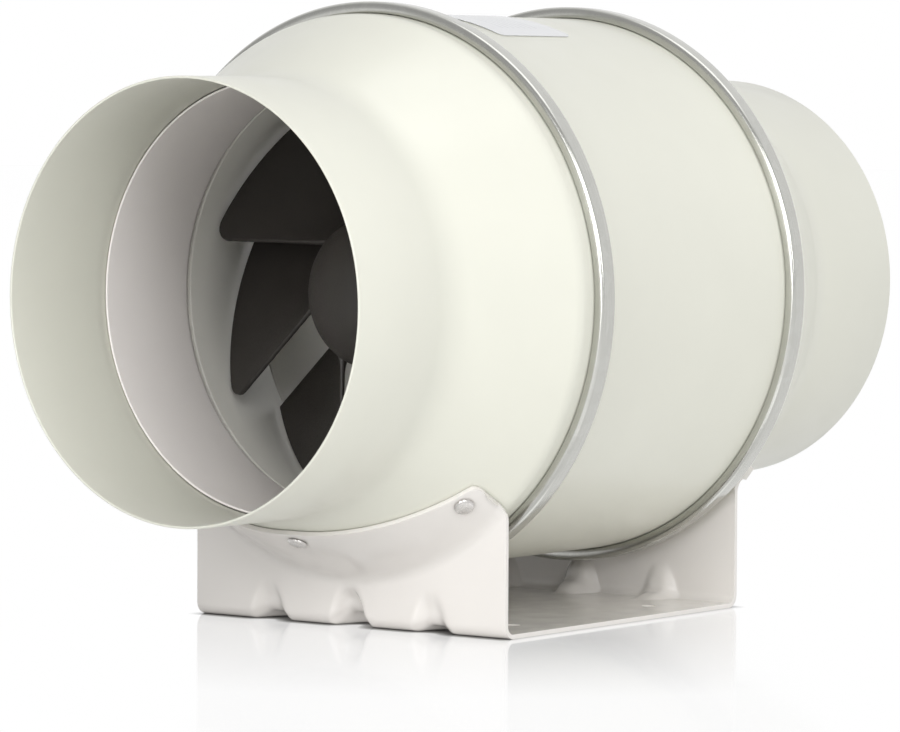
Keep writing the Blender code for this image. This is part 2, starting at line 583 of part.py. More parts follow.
def add_rotor(axis):
    """Everything that spins: impeller, nut, nose cap, shaft and rotor."""
    bore = SHAFT_RADIUS + GAP
    web = HUB_FRONT + HUB_WEB
    web_rear, boss_rear = web + HUB_WEB_SHEET, HUB_REAR - HUB_BOSS_BACK
    hub = [(web, bore), (web, hub_radius(web) - HUB_SHEET),
           (HUB_FRONT, HUB_FRONT_RADIUS - HUB_SHEET), (HUB_FRONT, HUB_FRONT_RADIUS),
           (HUB_REAR, HUB_REAR_RADIUS), (HUB_REAR, HUB_REAR_RADIUS - HUB_SHEET),
           (web_rear, hub_radius(web_rear) - HUB_SHEET), (web_rear, HUB_BOSS_RADIUS),
           (boss_rear, HUB_BOSS_RADIUS), (boss_rear, bore)]
    impeller = add_piece("impeller", lathe(hub, FINE), "charcoal_plastic", axis)
    sheets = merged(*[blade_sheet(number) for number in range(BLADE_COUNT)])
    blades = add_tool("blade_sheets", sheets, axis)
    thicken(blades, BLADE_SHEET, even=False)
    combine(impeller, blades, "UNION")

    nut_rear, nut_front, nut_radius = web - GAP, web - GAP - 0.005, 0.0085
    nut = [(nut_front, bore * HEX), (nut_front, nut_radius), (nut_rear, nut_radius),
           (nut_rear, bore * HEX)]
    add_piece("impeller_nut", lathe(nut, 6), "zinc_screw", axis)
    cap_rear, cap_sheet = HUB_FRONT - GAP, 0.002
    cap_front = cap_rear - NOSE_LENGTH
    cap = rounded([(cap_rear, HUB_FRONT_RADIUS), (cap_rear - NOSE_LENGTH / 2, HUB_FRONT_RADIUS),
                   (cap_front, 0.0)], [NOSE_LENGTH / 2], 2)
    inside = offset_line(cap[:-1], cap_sheet) + [Vector((cap_front + cap_sheet, 0.0))]
    add_piece("nose_cap", lathe(cap + inside[::-1], FINE), "charcoal_plastic", axis)

    shaft_front, shaft_rear = nut_front - 0.004, MOTOR_REAR - 0.001
    shaft = [(shaft_front, 0), (shaft_front, SHAFT_RADIUS), (shaft_rear, SHAFT_RADIUS),
             (shaft_rear, 0)]
    add_piece("motor_shaft", lathe(shaft, FINE), "ground_steel", axis)
    low, high = STATOR_FRONT - ROTOR_OVERHANG, STATOR_REAR + ROTOR_OVERHANG
    rotor = [(low, bore), (low, ROTOR_RADIUS), (high, ROTOR_RADIUS), (high, bore)]
    add_piece("rotor", lathe(rotor, FINE), "lamination_steel", axis)


# ---------------------------------------------------------------- base bracket
def gusset_push(x, along):
    """How far the pressed gussets move the sheet in, at a place across and along the bend."""
    push = 0.0
    for number, depth in enumerate(GUSSET_DEPTHS):
        across = (x - (number - 1) * GUSSET_SPACING) / GUSSET_HALF_WIDTH
        if abs(across) < 1:
            push += depth * (1 - across ** 2)
    return push * max(0.0, 1 - abs(along) / GUSSET_REACH)


def bracket_column(x):
    """The outer side of half the bracket in one plane across x: saddle edge to mid plate."""
    lift = (GAP + 0.0001 + BASE_SHEET) / math.cos(CONE_ANGLE)
    crease = CASING_RADIUS + lift - (BASE_HALF_LENGTH - CONE_END) * CONE_SLOPE
    ear = abs(x) / BASE_HALF_WIDTH
    edge = SADDLE_EDGE[0] + SADDLE_EDGE[1] * ear + SADDLE_EDGE[2] * ear ** 2
    corner = max(0.0, (abs(x) - BASE_HALF_WIDTH + EAR_CORNER) / EAR_CORNER)
    edge += EAR_CORNER * (1 - math.sqrt(max(0.0, 1 - corner ** 2)))
    column = []
    for share in (1.0, 0.5, 0.10):
        r = crease + (edge - crease) * share
        px = x * (1 + (SADDLE_NARROWING - 1) * share)
        y = -BASE_HALF_LENGTH - (crease - r) / CONE_SLOPE
        column.append(Vector((px, y, AXIS_HEIGHT - math.sqrt(r * r - px * px))))
    top = AXIS_HEIGHT - math.sqrt(crease ** 2 - x ** 2) - CREASE_BEND / 2
    for share in (0.0, 0.5, 1.0):
        z = top + (BASE_BEND - top) * share
        column.append(Vector((x, -BASE_HALF_LENGTH, z)))
    for angle in (math.pi / 4, math.pi / 2):
        column.append(Vector((x, -BASE_HALF_LENGTH + BASE_BEND * (1 - math.cos(angle)),
                              BASE_BEND * (1 - math.sin(angle)))))
    flat_start = -BASE_HALF_LENGTH + BASE_BEND
    for y in (flat_start + GUSSET_REACH / 3, flat_start + GUSSET_REACH * 0.7, 0.0):
        column.append(Vector((x, y, 0.0)))
    bend = BASE_BEND * math.pi / 4
    for point in column:
        upright = point.z - BASE_BEND
        lying = point.y + BASE_HALF_LENGTH - BASE_BEND
        if upright > 0 and point.y > -BASE_HALF_LENGTH - WELD:
            along = bend + upright
        elif lying > 0:
            along = bend + lying
        elif point.y < -BASE_HALF_LENGTH - WELD:
            continue
        else:
            along = abs(math.atan2(upright, -lying) + math.pi / 4) * BASE_BEND
        push = gusset_push(x, along) / math.sqrt(2)
        point.y += push
        point.z += push
    return column


def bracket_columns():
    """Places across the bracket: the sides, and each gusset's middle and flanks."""
    places = {-GUSSET_SPACING / 2, GUSSET_SPACING / 2}
    for number in (-1, 0, 1):
        centre = number * GUSSET_SPACING
        for share in (-1, 0, 1):
            places.add(round(centre + share * GUSSET_HALF_WIDTH, 6))
    for side in (-1, 1):
        places.update(side * (BASE_HALF_WIDTH - inset)
                      for inset in (0, 0.0006, 0.0018, 0.0035, 0.012, 0.022))
    return sorted(places)


def add_bracket():
    """The bent sheet base: plate, two cheeks, saddle flanges and pressed gussets."""
    rows = []
    for x in bracket_columns():
        half = bracket_column(x)
        rear = [Vector((p.x, -p.y, p.z)) for p in half[-2::-1]]
        rows.append(half + rear)
    bm = grid(rows)
    bm.normal_update()
    plate = min(bm.faces, key=lambda face: face.calc_center_median().length)
    if plate.normal.z > 0:
        bmesh.ops.reverse_faces(bm, faces=bm.faces)
    bracket = add_piece("base_bracket", bm, "bracket_paint")
    thicken(bracket, BASE_SHEET, offset=-1.0)
    holes = [rod((x, y, -0.002), (x, y, 0.006), BASE_HOLE_RADIUS)
             for x in (-BASE_HOLES[0], BASE_HOLES[0]) for y in (-BASE_HOLES[1], BASE_HOLES[1])]
    combine(bracket, add_tool("base_holes", merged(*holes)), "DIFFERENCE")
    return bracket


def rivet_places(side):
    """Each rivet's foot on the cone and the cone's outward direction there."""
    for distance, angle in ((RIVET_DISTANCES[0], 0.0), (RIVET_DISTANCES[1], -RIVET_EAR_ANGLE),
                            (RIVET_DISTANCES[1], RIVET_EAR_ANGLE)):
        r = CASING_RADIUS - (distance - CONE_END) * CONE_SLOPE
        foot = Vector((r * math.sin(angle), side * distance, -r * math.cos(angle)))
        outward = Vector((math.sin(angle) * math.cos(CONE_ANGLE), side * math.sin(CONE_ANGLE),
                          -math.cos(angle) * math.cos(CONE_ANGLE)))
        yield foot, outward


def add_rivets(bracket, axis):
    """Six blind rivets through the saddles and the bowls, and the holes that they sit in."""
    seat = GAP + 0.0001 + BASE_SHEET + GAP
    profile = [(-0.0045, 0), (-0.0045, RIVET_SHANK_RADIUS), (seat, RIVET_SHANK_RADIUS),
               (seat, RIVET_HEAD_RADIUS), (seat + 0.0006, RIVET_HEAD_RADIUS),
               (seat + RIVET_HEAD_HEIGHT * 0.8, RIVET_HEAD_RADIUS * 0.70),
               (seat + RIVET_HEAD_HEIGHT, 0)]
    for name, side in (("inlet", -1), ("outlet", 1)):
        holes = []
        for number, (foot, outward) in enumerate(rivet_places(side), 1):
            holes.append(rod(foot - outward * 0.006, foot + outward * 0.006, RIVET_HOLE_RADIUS))
            rivet = lathe(profile, SMALL, closed=False)
            turn = outward.to_track_quat("Y", "Z").to_matrix().to_4x4()
            bmesh.ops.transform(rivet, matrix=Matrix.Translation(foot) @ turn, verts=rivet.verts)
            add_piece(f"{name}_rivet_{number}", rivet, "bright_rivet", axis)
        tool = add_tool(f"{name}_rivet_holes", merged(*holes), axis)
        combine(bracket, tool, "DIFFERENCE")
        combine(bpy.data.objects[name + "_casing"], tool, "DIFFERENCE")


# ---------------------------------------------------------------- terminal box
def box_screw_places():
    """The four lid screws' places in the box's corners."""
    y, z = BOX_HALF_Y - LID_SCREW_INSET, BOX_HALF_Z - LID_SCREW_INSET
    return [(sy * y, sz * z) for sy in (-1, 1) for sz in (-1, 1)]


def add_terminal_box(axis):
    """Terminal box on the casing's side, its lid and seal, and what it holds."""
    body = add_piece("terminal_box", box((BOX_MOUTH, -BOX_HALF_Y, -BOX_HALF_Z),
                                         (BOX_BACK, BOX_HALF_Y, BOX_HALF_Z), bevel=0.002),
                     "box_plastic", axis)
    seat = [(-0.2, 0), (-0.2, CASING_RADIUS + GAP), (0.2, CASING_RADIUS + GAP), (0.2, 0)]
    combine(body, add_tool("box_seat", lathe(seat, closed=False), axis), "DIFFERENCE")
    inner_y, inner_z = BOX_HALF_Y - BOX_WALL, BOX_HALF_Z - BOX_WALL
    room = box((BOX_MOUTH - 0.010, -inner_y, -inner_z + BOX_BOSS),
               (BOX_FLOOR, inner_y, inner_z - BOX_BOSS))
    combine(body, add_tool("box_room", room, axis), "DIFFERENCE")
    room = box((BOX_MOUTH - 0.011, -inner_y + BOX_BOSS, -inner_z),
               (BOX_FLOOR, inner_y - BOX_BOSS, inner_z))
    combine(body, add_tool("box_room_across", room, axis), "DIFFERENCE")
    holes = [rod((BOX_MOUTH - 0.002, y, z), (BOX_MOUTH + LID_SCREW_DEPTH + 0.003, y, z),
                 LID_SCREW_RADIUS + GAP) for y, z in box_screw_places()]
    combine(body, add_tool("box_screw_holes", merged(*holes), axis), "DIFFERENCE")
    openings = merged(rod((BOX_FLOOR - 0.007, LEAD_Y, 0), (BOX_BACK, LEAD_Y, 0),
                          LEAD_HOLE_RADIUS),
                      rod((GLAND_X, GLAND_Y, -inner_z + 0.002), (GLAND_X, GLAND_Y, -inner_z - 0.006),
                          GLAND_RADIUS))
    combine(body, add_tool("box_openings", openings, axis), "DIFFERENCE")

    seal_low, seal_high = BOX_MOUTH - GAP - BOX_SEAL, BOX_MOUTH - GAP
    seal_y, seal_z, border = BOX_HALF_Y - 0.001, BOX_HALF_Z - 0.001, 0.010
    seal = add_piece("box_seal", box((seal_low, -seal_y, -seal_z), (seal_high, seal_y, seal_z)),
                     "black_rubber", axis)
    window = box((seal_low - 0.01, -seal_y + border, -seal_z + border),
                 (seal_high + 0.01, seal_y - border, seal_z - border))
    combine(seal, add_tool("seal_window", window, axis), "DIFFERENCE")
    lid_high = seal_low - GAP
    lid_low = lid_high - BOX_LID
    lid = add_piece("box_lid", box((lid_low, -BOX_HALF_Y, -BOX_HALF_Z),
                                   (lid_high, BOX_HALF_Y, BOX_HALF_Z), bevel=0.0015),
                    "box_plastic", axis)
    through = merged(*[rod((lid_low - 0.005, y, z), (seal_high + 0.0001, y, z), 0.0024)
                       for y, z in box_screw_places()])
    through = add_tool("lid_screw_holes", through, axis)
    combine(lid, through, "DIFFERENCE")
    combine(seal, through, "DIFFERENCE")
    head, foot = lid_low - GAP, BOX_MOUTH + LID_SCREW_DEPTH
    screw = [(head - 0.0022, 0), (head - 0.0022, 0.0026), (head - 0.0008, 0.0036),
             (head, 0.0036), (head, LID_SCREW_RADIUS), (foot, LID_SCREW_RADIUS), (foot, 0)]
    for number, (y, z) in enumerate(box_screw_places(), 1):
        piece = lathe(screw, SMALL, closed=False)
        turn = Matrix.Rotation(-math.pi / 2, 4, "Z")
        bmesh.ops.transform(piece, matrix=Matrix.Translation((0, y, z)) @ turn, verts=piece.verts)
        add_piece(f"lid_screw_{number}", piece, "zinc_screw", axis)

    floor = BOX_FLOOR - GAP
    block = box((floor - BLOCK_DEPTH, BLOCK_Y[0], BLOCK_Z[0]), (floor, BLOCK_Y[1], BLOCK_Z[1]),
                bevel=0.0012)
    add_piece("terminal_block", block, "terminal_plastic", axis)
    can_x = floor - CAPACITOR_RADIUS - 0.0005
    can = rod((can_x, CAPACITOR_Y[0], CAPACITOR_Z), (can_x, CAPACITOR_Y[1], CAPACITOR_Z),
              CAPACITOR_RADIUS, FINE)
    add_piece("run_capacitor", can, "capacitor_case", axis)

    wall, barrel_radius = BOX_HALF_Z, GLAND_BARREL_RADIUS
    flange, barrel, lip = wall + GLAND_FLANGE, wall + GLAND_BARREL, wall + GLAND_CAP_LIP
    step, end = wall + GLAND_CAP_STEP, wall + GLAND_CAP_END
    gland = [(inner_z, GLAND_BORE), (inner_z, GLAND_RADIUS - GAP),
             (wall + GAP, GLAND_RADIUS - GAP), (wall + GAP, GLAND_FLANGE_RADIUS),
             (flange, GLAND_FLANGE_RADIUS), (flange, barrel_radius), (barrel, barrel_radius),
             (barrel, GLAND_BORE)]
    cap = [(flange + GAP, barrel_radius + GAP), (flange + GAP, GLAND_CAP_RADIUS),
           (step, GLAND_CAP_RADIUS), (end, GLAND_CAP_END_RADIUS), (end, GLAND_CAP_MOUTH),
           (lip, GLAND_CAP_MOUTH), (lip, barrel_radius + GAP)]
    seal_low, seal_high = barrel + GLAND_SEAL_PLAY, lip - GAP
    seal = [(seal_low, GLAND_SEAL_BORE), (seal_low, barrel_radius), (seal_high, barrel_radius),
            (seal_high, GLAND_SEAL_BORE)]
    down = Matrix.Translation((GLAND_X, GLAND_Y, 0)) @ Matrix.Rotation(-math.pi / 2, 4, "X")
    for name, profile, sides, material in (("gland_body", gland, SMALL, "box_plastic"),
                                           ("gland_nut", cap, SMALL, "box_plastic"),
                                           ("gland_seal", seal, SMALL, "black_rubber")):
        piece = lathe(profile, sides)
        bmesh.ops.transform(piece, matrix=down, verts=piece.verts)
        add_piece(name, piece, material, axis)


def add_lead(axis):
    """The motor's lead, from the terminal box to the housing, and its grommet in the casing."""
    ends = BOX_FLOOR - 0.010, -MOTOR_RADIUS + 0.0010
    lead = rod((ends[0], LEAD_Y, 0), (ends[1], LEAD_Y, 0), LEAD_RADIUS)
    add_piece("motor_lead", lead, "black_rubber", axis)
    low, high = CASING_RADIUS - GROMMET_DEPTH, -BOX_FLOOR - GAP
    groove = LEAD_HOLE_RADIUS - GROMMET_PLAY
    bore = LEAD_RADIUS + GAP
    section = [(low, bore), (low, groove), (high, groove), (high, bore)]
    grommet = lathe(section, SMALL)
    turn = Matrix.Translation((0, LEAD_Y, 0)) @ Matrix.Rotation(math.pi / 2, 4, "Z")
    bmesh.ops.transform(grommet, matrix=turn, verts=grommet.verts)
    add_piece("lead_grommet", grommet, "black_rubber", axis)


def add_label(axis):
    """A blank rating label on top of the centre casing, between the clamp bands."""
    outer = CASING_RADIUS + GAP + LABEL_FILM
    angles = [math.pi / 2 + math.tau * step / SEGMENTS for step in (-2, -1, 0, 1)]
    rows = []
    for y in (LABEL_FRONT, LABEL_REAR):
        rows.append([(outer * math.cos(angle), y, outer * math.sin(angle)) for angle in angles])
    label = grid(rows)
    label.normal_update()
    if next(iter(label.faces)).normal.z < 0:
        bmesh.ops.reverse_faces(label, faces=label.faces)
    piece = add_piece("rating_label", label, "label_film", axis)
    thicken(piece, LABEL_FILM, offset=-1.0)


# ---------------------------------------------------------------- build
for old in list(bpy.data.objects):
    bpy.data.objects.remove(old, do_unlink=True)

MATERIALS = {name: make_material(name) for name in PAINTS}

fan_axis = bpy.data.objects.new("fan_axis", None)
fan_axis.location = (0, 0, AXIS_HEIGHT)
bpy.context.scene.collection.objects.link(fan_axis)
spin_axis = bpy.data.objects.new("spin_axis", None)
spin_axis.parent = fan_axis
bpy.context.scene.collection.objects.link(spin_axis)

add_casing(fan_axis)
add_clamp("front", -1, fan_axis)
add_clamp("rear", 1, fan_axis)
add_liners(fan_axis)
add_guide_vanes(fan_axis)
add_motor(fan_axis)
add_rotor(spin_axis)
add_rivets(add_bracket(), fan_axis)
add_terminal_box(fan_axis)
add_lead(fan_axis)
add_label(fan_axis)
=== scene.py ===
"""Looks of the inline duct fan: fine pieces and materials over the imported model, floor, light, camera.

Everything is in metres in the model's own frame: the air runs along +Y, Z is up, and the fan's axis
is the impeller joint's. Outlines are lists of (y, r) points, with r the distance from that axis.
"""
import json
import math

import bmesh
import bpy
from mathutils import Matrix, Vector


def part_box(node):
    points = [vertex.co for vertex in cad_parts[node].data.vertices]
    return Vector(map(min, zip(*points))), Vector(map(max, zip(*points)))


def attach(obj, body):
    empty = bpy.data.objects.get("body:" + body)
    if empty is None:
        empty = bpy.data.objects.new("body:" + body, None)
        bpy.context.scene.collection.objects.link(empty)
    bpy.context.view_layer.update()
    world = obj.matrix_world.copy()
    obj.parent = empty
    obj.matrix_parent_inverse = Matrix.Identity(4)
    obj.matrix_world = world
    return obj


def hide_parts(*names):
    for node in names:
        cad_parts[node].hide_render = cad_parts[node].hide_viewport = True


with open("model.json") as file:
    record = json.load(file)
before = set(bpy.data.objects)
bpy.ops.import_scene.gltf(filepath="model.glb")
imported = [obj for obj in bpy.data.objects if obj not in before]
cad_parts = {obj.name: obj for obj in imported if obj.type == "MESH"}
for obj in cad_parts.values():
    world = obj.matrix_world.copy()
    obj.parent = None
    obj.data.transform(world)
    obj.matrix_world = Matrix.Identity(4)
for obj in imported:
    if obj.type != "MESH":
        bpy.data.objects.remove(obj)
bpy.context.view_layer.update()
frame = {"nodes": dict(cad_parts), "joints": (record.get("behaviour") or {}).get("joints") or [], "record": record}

# ---------------- dimensions, read from the frame
AXIS = Vector(frame["joints"][0]["pos_m"])


def reach(node, corner, axis):
    """One coordinate of a CAD node's box: corner 0 is the lowest, corner 1 the highest."""
    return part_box(node)[corner]["xyz".index(axis)]


GAP = 0.0003                     # between CAD pieces
HAIR = 0.0001                    # a little more, where the fine meshes need it
HALF_LENGTH = -reach("inlet_casing", 0, "y")
FLANGE_RADIUS = reach("inlet_casing", 1, "x")
FLANGE_REAR = reach("inlet_casing", 1, "y")
CENTRE_REAR = reach("centre_casing", 1, "y")
RING_LIP = reach("inlet_ring", 0, "y")
RING_REAR = reach("inlet_ring", 1, "y")
RING_FLANGE_RADIUS = reach("inlet_ring", 1, "x")
SHROUD_FRONT = reach("impeller_shroud", 0, "y")
SHROUD_REAR = reach("impeller_shroud", 1, "y")
VANE_RING_FRONT = reach("guide_vane_ring", 0, "y")
VANE_RING_REAR = reach("guide_vane_ring", 1, "y")
BAND_RADIUS = reach("front_clamp_band", 1, "z") - AXIS.z
JOINT = (CENTRE_REAR - FLANGE_REAR) / 2
BAND_HALF_WIDTH = -JOINT - reach("front_clamp_band", 0, "y")
HUB_FRONT = reach("nose_cap", 1, "y") + GAP
NOSE_FRONT = reach("nose_cap", 0, "y")
TAIL_FRONT = reach("tail_cone", 0, "y")
TAIL_REAR = reach("tail_cone", 1, "y")
MOTOR_REAR = reach("motor_rear_shield", 1, "y")
LEAD_Y = (reach("motor_lead", 0, "y") + reach("motor_lead", 1, "y")) / 2
LEAD_RADIUS = (reach("motor_lead", 1, "y") - reach("motor_lead", 0, "y")) / 2
BASE_HALF_WIDTH = reach("base_bracket", 1, "x")
BASE_HALF_LENGTH = 0.094

# ---------------- dimensions that no box shows
SPIGOT_RADIUS, BODY_RADIUS = 0.099, 0.1280
SHEET = 0.0012
CONE_START, CONE_END = 0.1483, 0.0915
CONE_SLOPE = (BODY_RADIUS - SPIGOT_RADIUS) / (CONE_START - CONE_END)
CONE_ANGLE = math.atan(CONE_SLOPE)
BAND_LIP_RADIUS = 0.1284
THROAT_RADIUS, THROAT_END_RADIUS = 0.097, 0.100
SHROUD_FRONT_RADIUS, SHROUD_REAR_RADIUS, SHROUD_SHEET = 0.1018, 0.1120, 0.0020
VANE_COUNT, VANE_HUB_RADIUS, VANE_SHEET = 9, 0.0605, 0.0020
VANE_SEAT, VANE_SEAT_BORE, VANE_TURN = 0.006, 0.036, math.radians(26)
TAIL_WAIST, TAIL_TIP_RADIUS, TAIL_WALL = (0.088, 0.058), 0.028, 0.002
BLADE_COUNT, BLADE_SHEET = 8, 0.0022
BLADE_FRONT, BLADE_REAR = -0.0705, -0.028
BLADE_SPAN = math.radians(46)
BLADE_OFFSET, BLADE_CORNER, TIP_CLEARANCE = 0.022, 0.010, 0.0020
BLADE_FILLET = 0.0016
HUB_REAR, HUB_SHEET = -0.022, 0.0025
HUB_FRONT_RADIUS, HUB_REAR_RADIUS = 0.035, 0.058
BASE_SHEET, BASE_BEND = 0.0020, 0.006
SADDLE_EDGE, EAR_CORNER, SADDLE_NARROWING = (0.1067, 0.0045, 0.0085), 0.0035, 0.985
GUSSET_SPACING, GUSSET_HALF_WIDTH, GUSSET_REACH = 0.0465, 0.0125, 0.020
GUSSET_DEPTHS = (0.0052, 0.0084, 0.0042)
FOLD_REACH, FOLD_DROP = 0.0030, 0.0035
BASE_HOLE_RADIUS, BASE_HOLES = 0.0035, (0.065, 0.055)
RIVET_DISTANCES, RIVET_EAR_ANGLE = (0.1300, 0.1106), math.radians(40.8)
RIVET_SHANK, RIVET_HEAD, RIVET_TAIL = 0.0024, 0.0047, 0.0045
CLAMP_ANGLE, CLAMP_GAP = math.radians(185.625), math.radians(5.625)
LUG_HEIGHT, LUG_SHEET, BOLT_DROP = 0.017, 0.0025, 0.0065
BOLT_RADIUS, BOLT_HEAD, BOLT_HOLE = 0.0030, 0.0057, 0.0036
THREAD_PITCH, THREAD_DEPTH = 0.001, 0.0005
BAND_BEND, SHARP_BEND = 0.0021, 0.0006
ROUND = 192                      # sides of the large turned pieces
MIDDLE = 96                      # sides of the hub, cones and caps
FINE = 48                        # sides of rivets, screws and the gland
CURVE = 20                       # steps along the nose cap's dome
BOX_WALL, BOX_BOSS = 0.0025, 0.0085
BOX_FLOOR, BOX_BACK = -0.1330, -0.1185
LEAD_HOLE, GLAND_HOLE, SCREW_HOLE = 0.0080, 0.0090, 0.0023
LABEL_PITCH = 0.0022             # half the distance between two of the label's rules
LABEL_RULES = (("Y", -0.017, 0.016), ("X", 0.026, 0.014))      # middle and half length


# ---------------- outlines
def rounded(points, radii, steps=8):
    """Replace each inner corner of an outline by an arc of its radius."""
    line = [Vector(points[0])]
    for before, corner, after, radius in zip(points, points[1:], points[2:], radii):
        before, corner, after = Vector(before), Vector(corner), Vector(after)
        if not radius:
            line.append(corner)
            continue
        arm_in, arm_out = (before - corner).normalized(), (after - corner).normalized()
        half = arm_in.angle(arm_out) / 2
        centre = corner + (arm_in + arm_out).normalized() * radius / math.sin(half)
        start = corner + arm_in * radius / math.tan(half) - centre
        turn = start.angle_signed(corner + arm_out * radius / math.tan(half) - centre)
        for step in range(steps + 1):
            line.append(centre + Matrix.Rotation(-turn * step / steps, 2) @ start)
    line.append(Vector(points[-1]))
    return line


def offset_line(line, distance):
    """The line moved sideways by a distance, with mitred corners."""
    moved = []
    for index, point in enumerate(line):
        before = point - line[index - 1] if index else line[1] - point
        after = line[index + 1] - point if index + 1 < len(line) else before
        normal_in = Vector((-before.y, before.x)).normalized()
        normal_out = Vector((-after.y, after.x)).normalized()
        middle = (normal_in + normal_out).normalized()
        moved.append(point + middle * distance / middle.dot(normal_in))
    return moved


def half_round(start, end):
    """Points of the half circle that closes a sheet's edge, between two end points."""
    centre, arm = (start + end) / 2, (start - end) / 2
    return [centre + Matrix.Rotation(-math.pi * step / 6, 2) @ arm for step in range(1, 6)]


def sheet_outline(points, thickness, radii=None, steps=10):
    """The closed outline of a bent sheet with round edges; its outer side follows the points."""
    outer = rounded(points, radii or [0.0] * (len(points) - 2), steps)
    first = (outer[1] - outer[0]).normalized() * thickness / 2
    last = (outer[-2] - outer[-1]).normalized() * thickness / 2
    outer[0], outer[-1] = outer[0] + first, outer[-1] + last
    inner = offset_line(outer, -thickness)
    return outer + half_round(outer[-1], inner[-1]) + inner[::-1] + half_round(inner[0], outer[0])


def block_outline(points, radius=SHARP_BEND):
    """A closed outline whose corners are all rounded a little."""
    count = len(points)
    line = []
    for index in range(count):
        corner = [points[index - 1], points[index], points[(index + 1) % count]]
        line += rounded(corner, [radius], 3)[1:-1]
    return line


def mirrored(points):
    """The same outline for the other end of the fan."""
    return [Vector((-y, r)) for y, r in points]


# ---------------- meshes
def finished(bm):
    """Weld doubles, turn every face outward, and give back the mesh."""
    bmesh.ops.remove_doubles(bm, verts=bm.verts, dist=1e-6)
    bmesh.ops.recalc_face_normals(bm, faces=bm.faces)
    return bm


def turned(points, sides=ROUND, start=0.0, sweep=math.tau):
    """A solid turned about the Y axis from a closed outline, or part of a turn with flat ends."""
    bm = bmesh.new()
    whole = abs(sweep - math.tau) < 1e-9
    rings = []
    for step in range(sides if whole else sides + 1):
        angle = start + sweep * step / sides
        rings.append([bm.verts.new((r * math.cos(angle), y, r * math.sin(angle)))
                      for y, r in points])
    pairs = list(zip(rings, rings[1:]))
    if whole:
        pairs.append((rings[-1], rings[0]))
    count = len(points)
    for ring, following in pairs:
        for index in range(count):
            after = (index + 1) % count
            bm.faces.new((ring[index], ring[after], following[after], following[index]))
    if not whole:
        bm.faces.new(rings[0])
        bm.faces.new(rings[-1][::-1])
    return finished(bm)


def spun(points, sides=FINE):
    """A solid turned about the Y axis from an outline that starts and ends on the axis."""
    bm = bmesh.new()
    verts = [bm.verts.new((r, y, 0.0)) for y, r in points]
    edges = [bm.edges.new(pair) for pair in zip(verts, verts[1:])]
    bmesh.ops.spin(bm, geom=verts + edges, cent=(0, 0, 0), axis=(0, 1, 0), angle=math.tau,
                   steps=sides, use_merge=True, use_duplicate=False)
    return finished(bm)


def box(low, high, bevel=0.0, segments=4):
    """A box between two corners, with rounded edges if asked."""
    bm = bmesh.new()
    bmesh.ops.create_cube(bm, size=1.0)
    low, high = Vector(low), Vector(high)
    bmesh.ops.scale(bm, verts=bm.verts, vec=high - low)
    bmesh.ops.translate(bm, verts=bm.verts, vec=(low + high) / 2)
    if bevel:
        bmesh.ops.bevel(bm, geom=bm.edges[:], offset=bevel, segments=segments, affect="EDGES",
                        profile=0.5)
    return bm


def rod(start, end, radius):
    """A straight round bar between two points."""
    start, end = Vector(start), Vector(end)
    bm = bmesh.new()
    bmesh.ops.create_cone(bm, cap_ends=True, segments=FINE, radius1=radius, radius2=radius,
                          depth=(end - start).length)
    turn = (end - start).to_track_quat("Z", "Y").to_matrix().to_4x4()
    bmesh.ops.transform(bm, matrix=Matrix.Translation((start + end) / 2) @ turn, verts=bm.verts)
    return bm


def merged(*parts):
    """Several meshes in one."""
    bm = bmesh.new()
    for part in parts:
        mesh = mesh_of("part", part)
        bm.from_mesh(mesh)
        bpy.data.meshes.remove(mesh)
    return bm


def slab(front, back):
    """A closed body between two grids of points of the same size."""
    bm = bmesh.new()
    first, second = ([[bm.verts.new(point) for point in row] for row in rows]
                     for rows in (front, back))
    rows, columns = len(first), len(first[0])
    for i in range(rows - 1):
        for j in range(columns - 1):
            bm.faces.new((first[i][j], first[i][j + 1], first[i + 1][j + 1], first[i + 1][j]))
            bm.faces.new((second[i][j], second[i + 1][j], second[i + 1][j + 1],
                          second[i][j + 1]))
    rim = ([(0, j) for j in range(columns)] + [(i, columns - 1) for i in range(1, rows)]
           + [(rows - 1, j) for j in range(columns - 2, -1, -1)]
           + [(i, 0) for i in range(rows - 2, 0, -1)])
    for (a, b), (c, d) in zip(rim, rim[1:] + rim[:1]):
        bm.faces.new((first[a][b], first[c][d], second[c][d], second[a][b]))
    return finished(bm)


def mesh_of(name, bm):
    """A mesh with the faces of a BMesh, which is freed."""
    mesh = bpy.data.meshes.new(name)
    bm.to_mesh(mesh)
    bm.free()
    return mesh


def new_object(name, data):
    """An object in the scene with its mesh, light or camera."""
    thing = bpy.data.objects.new(name, data)
    bpy.context.scene.collection.objects.link(thing)
    return thing


def put(bm, matrix):
    """The same mesh moved by a matrix."""
    bmesh.ops.transform(bm, matrix=matrix, verts=bm.verts)
    return bm


TO_AXIS = Matrix.Translation((0, 0, AXIS.z))


# ---------------- pieces
NODE_SLOT = {part["node"]: part["material_slot"] for part in frame["record"]["subparts"]}
NODE_BODY = {node: body for body, nodes in frame["record"]["behaviour"]["bodies"].items()
             for node in nodes}


def add(name, bm, node, sharp=35, at_axis=True):
    """One shown piece in place of a CAD node; it rides where that node does, in its material."""
    if at_axis:
        put(bm, TO_AXIS)
    mesh = mesh_of(name, bm)
    mesh.shade_smooth()
    mesh.set_sharp_from_angle(angle=math.radians(sharp))
    mesh.materials.append(MATERIALS[NODE_SLOT[node]])
    piece = new_object(name, mesh)
    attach(piece, NODE_BODY[node])
    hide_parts(node)
    return piece


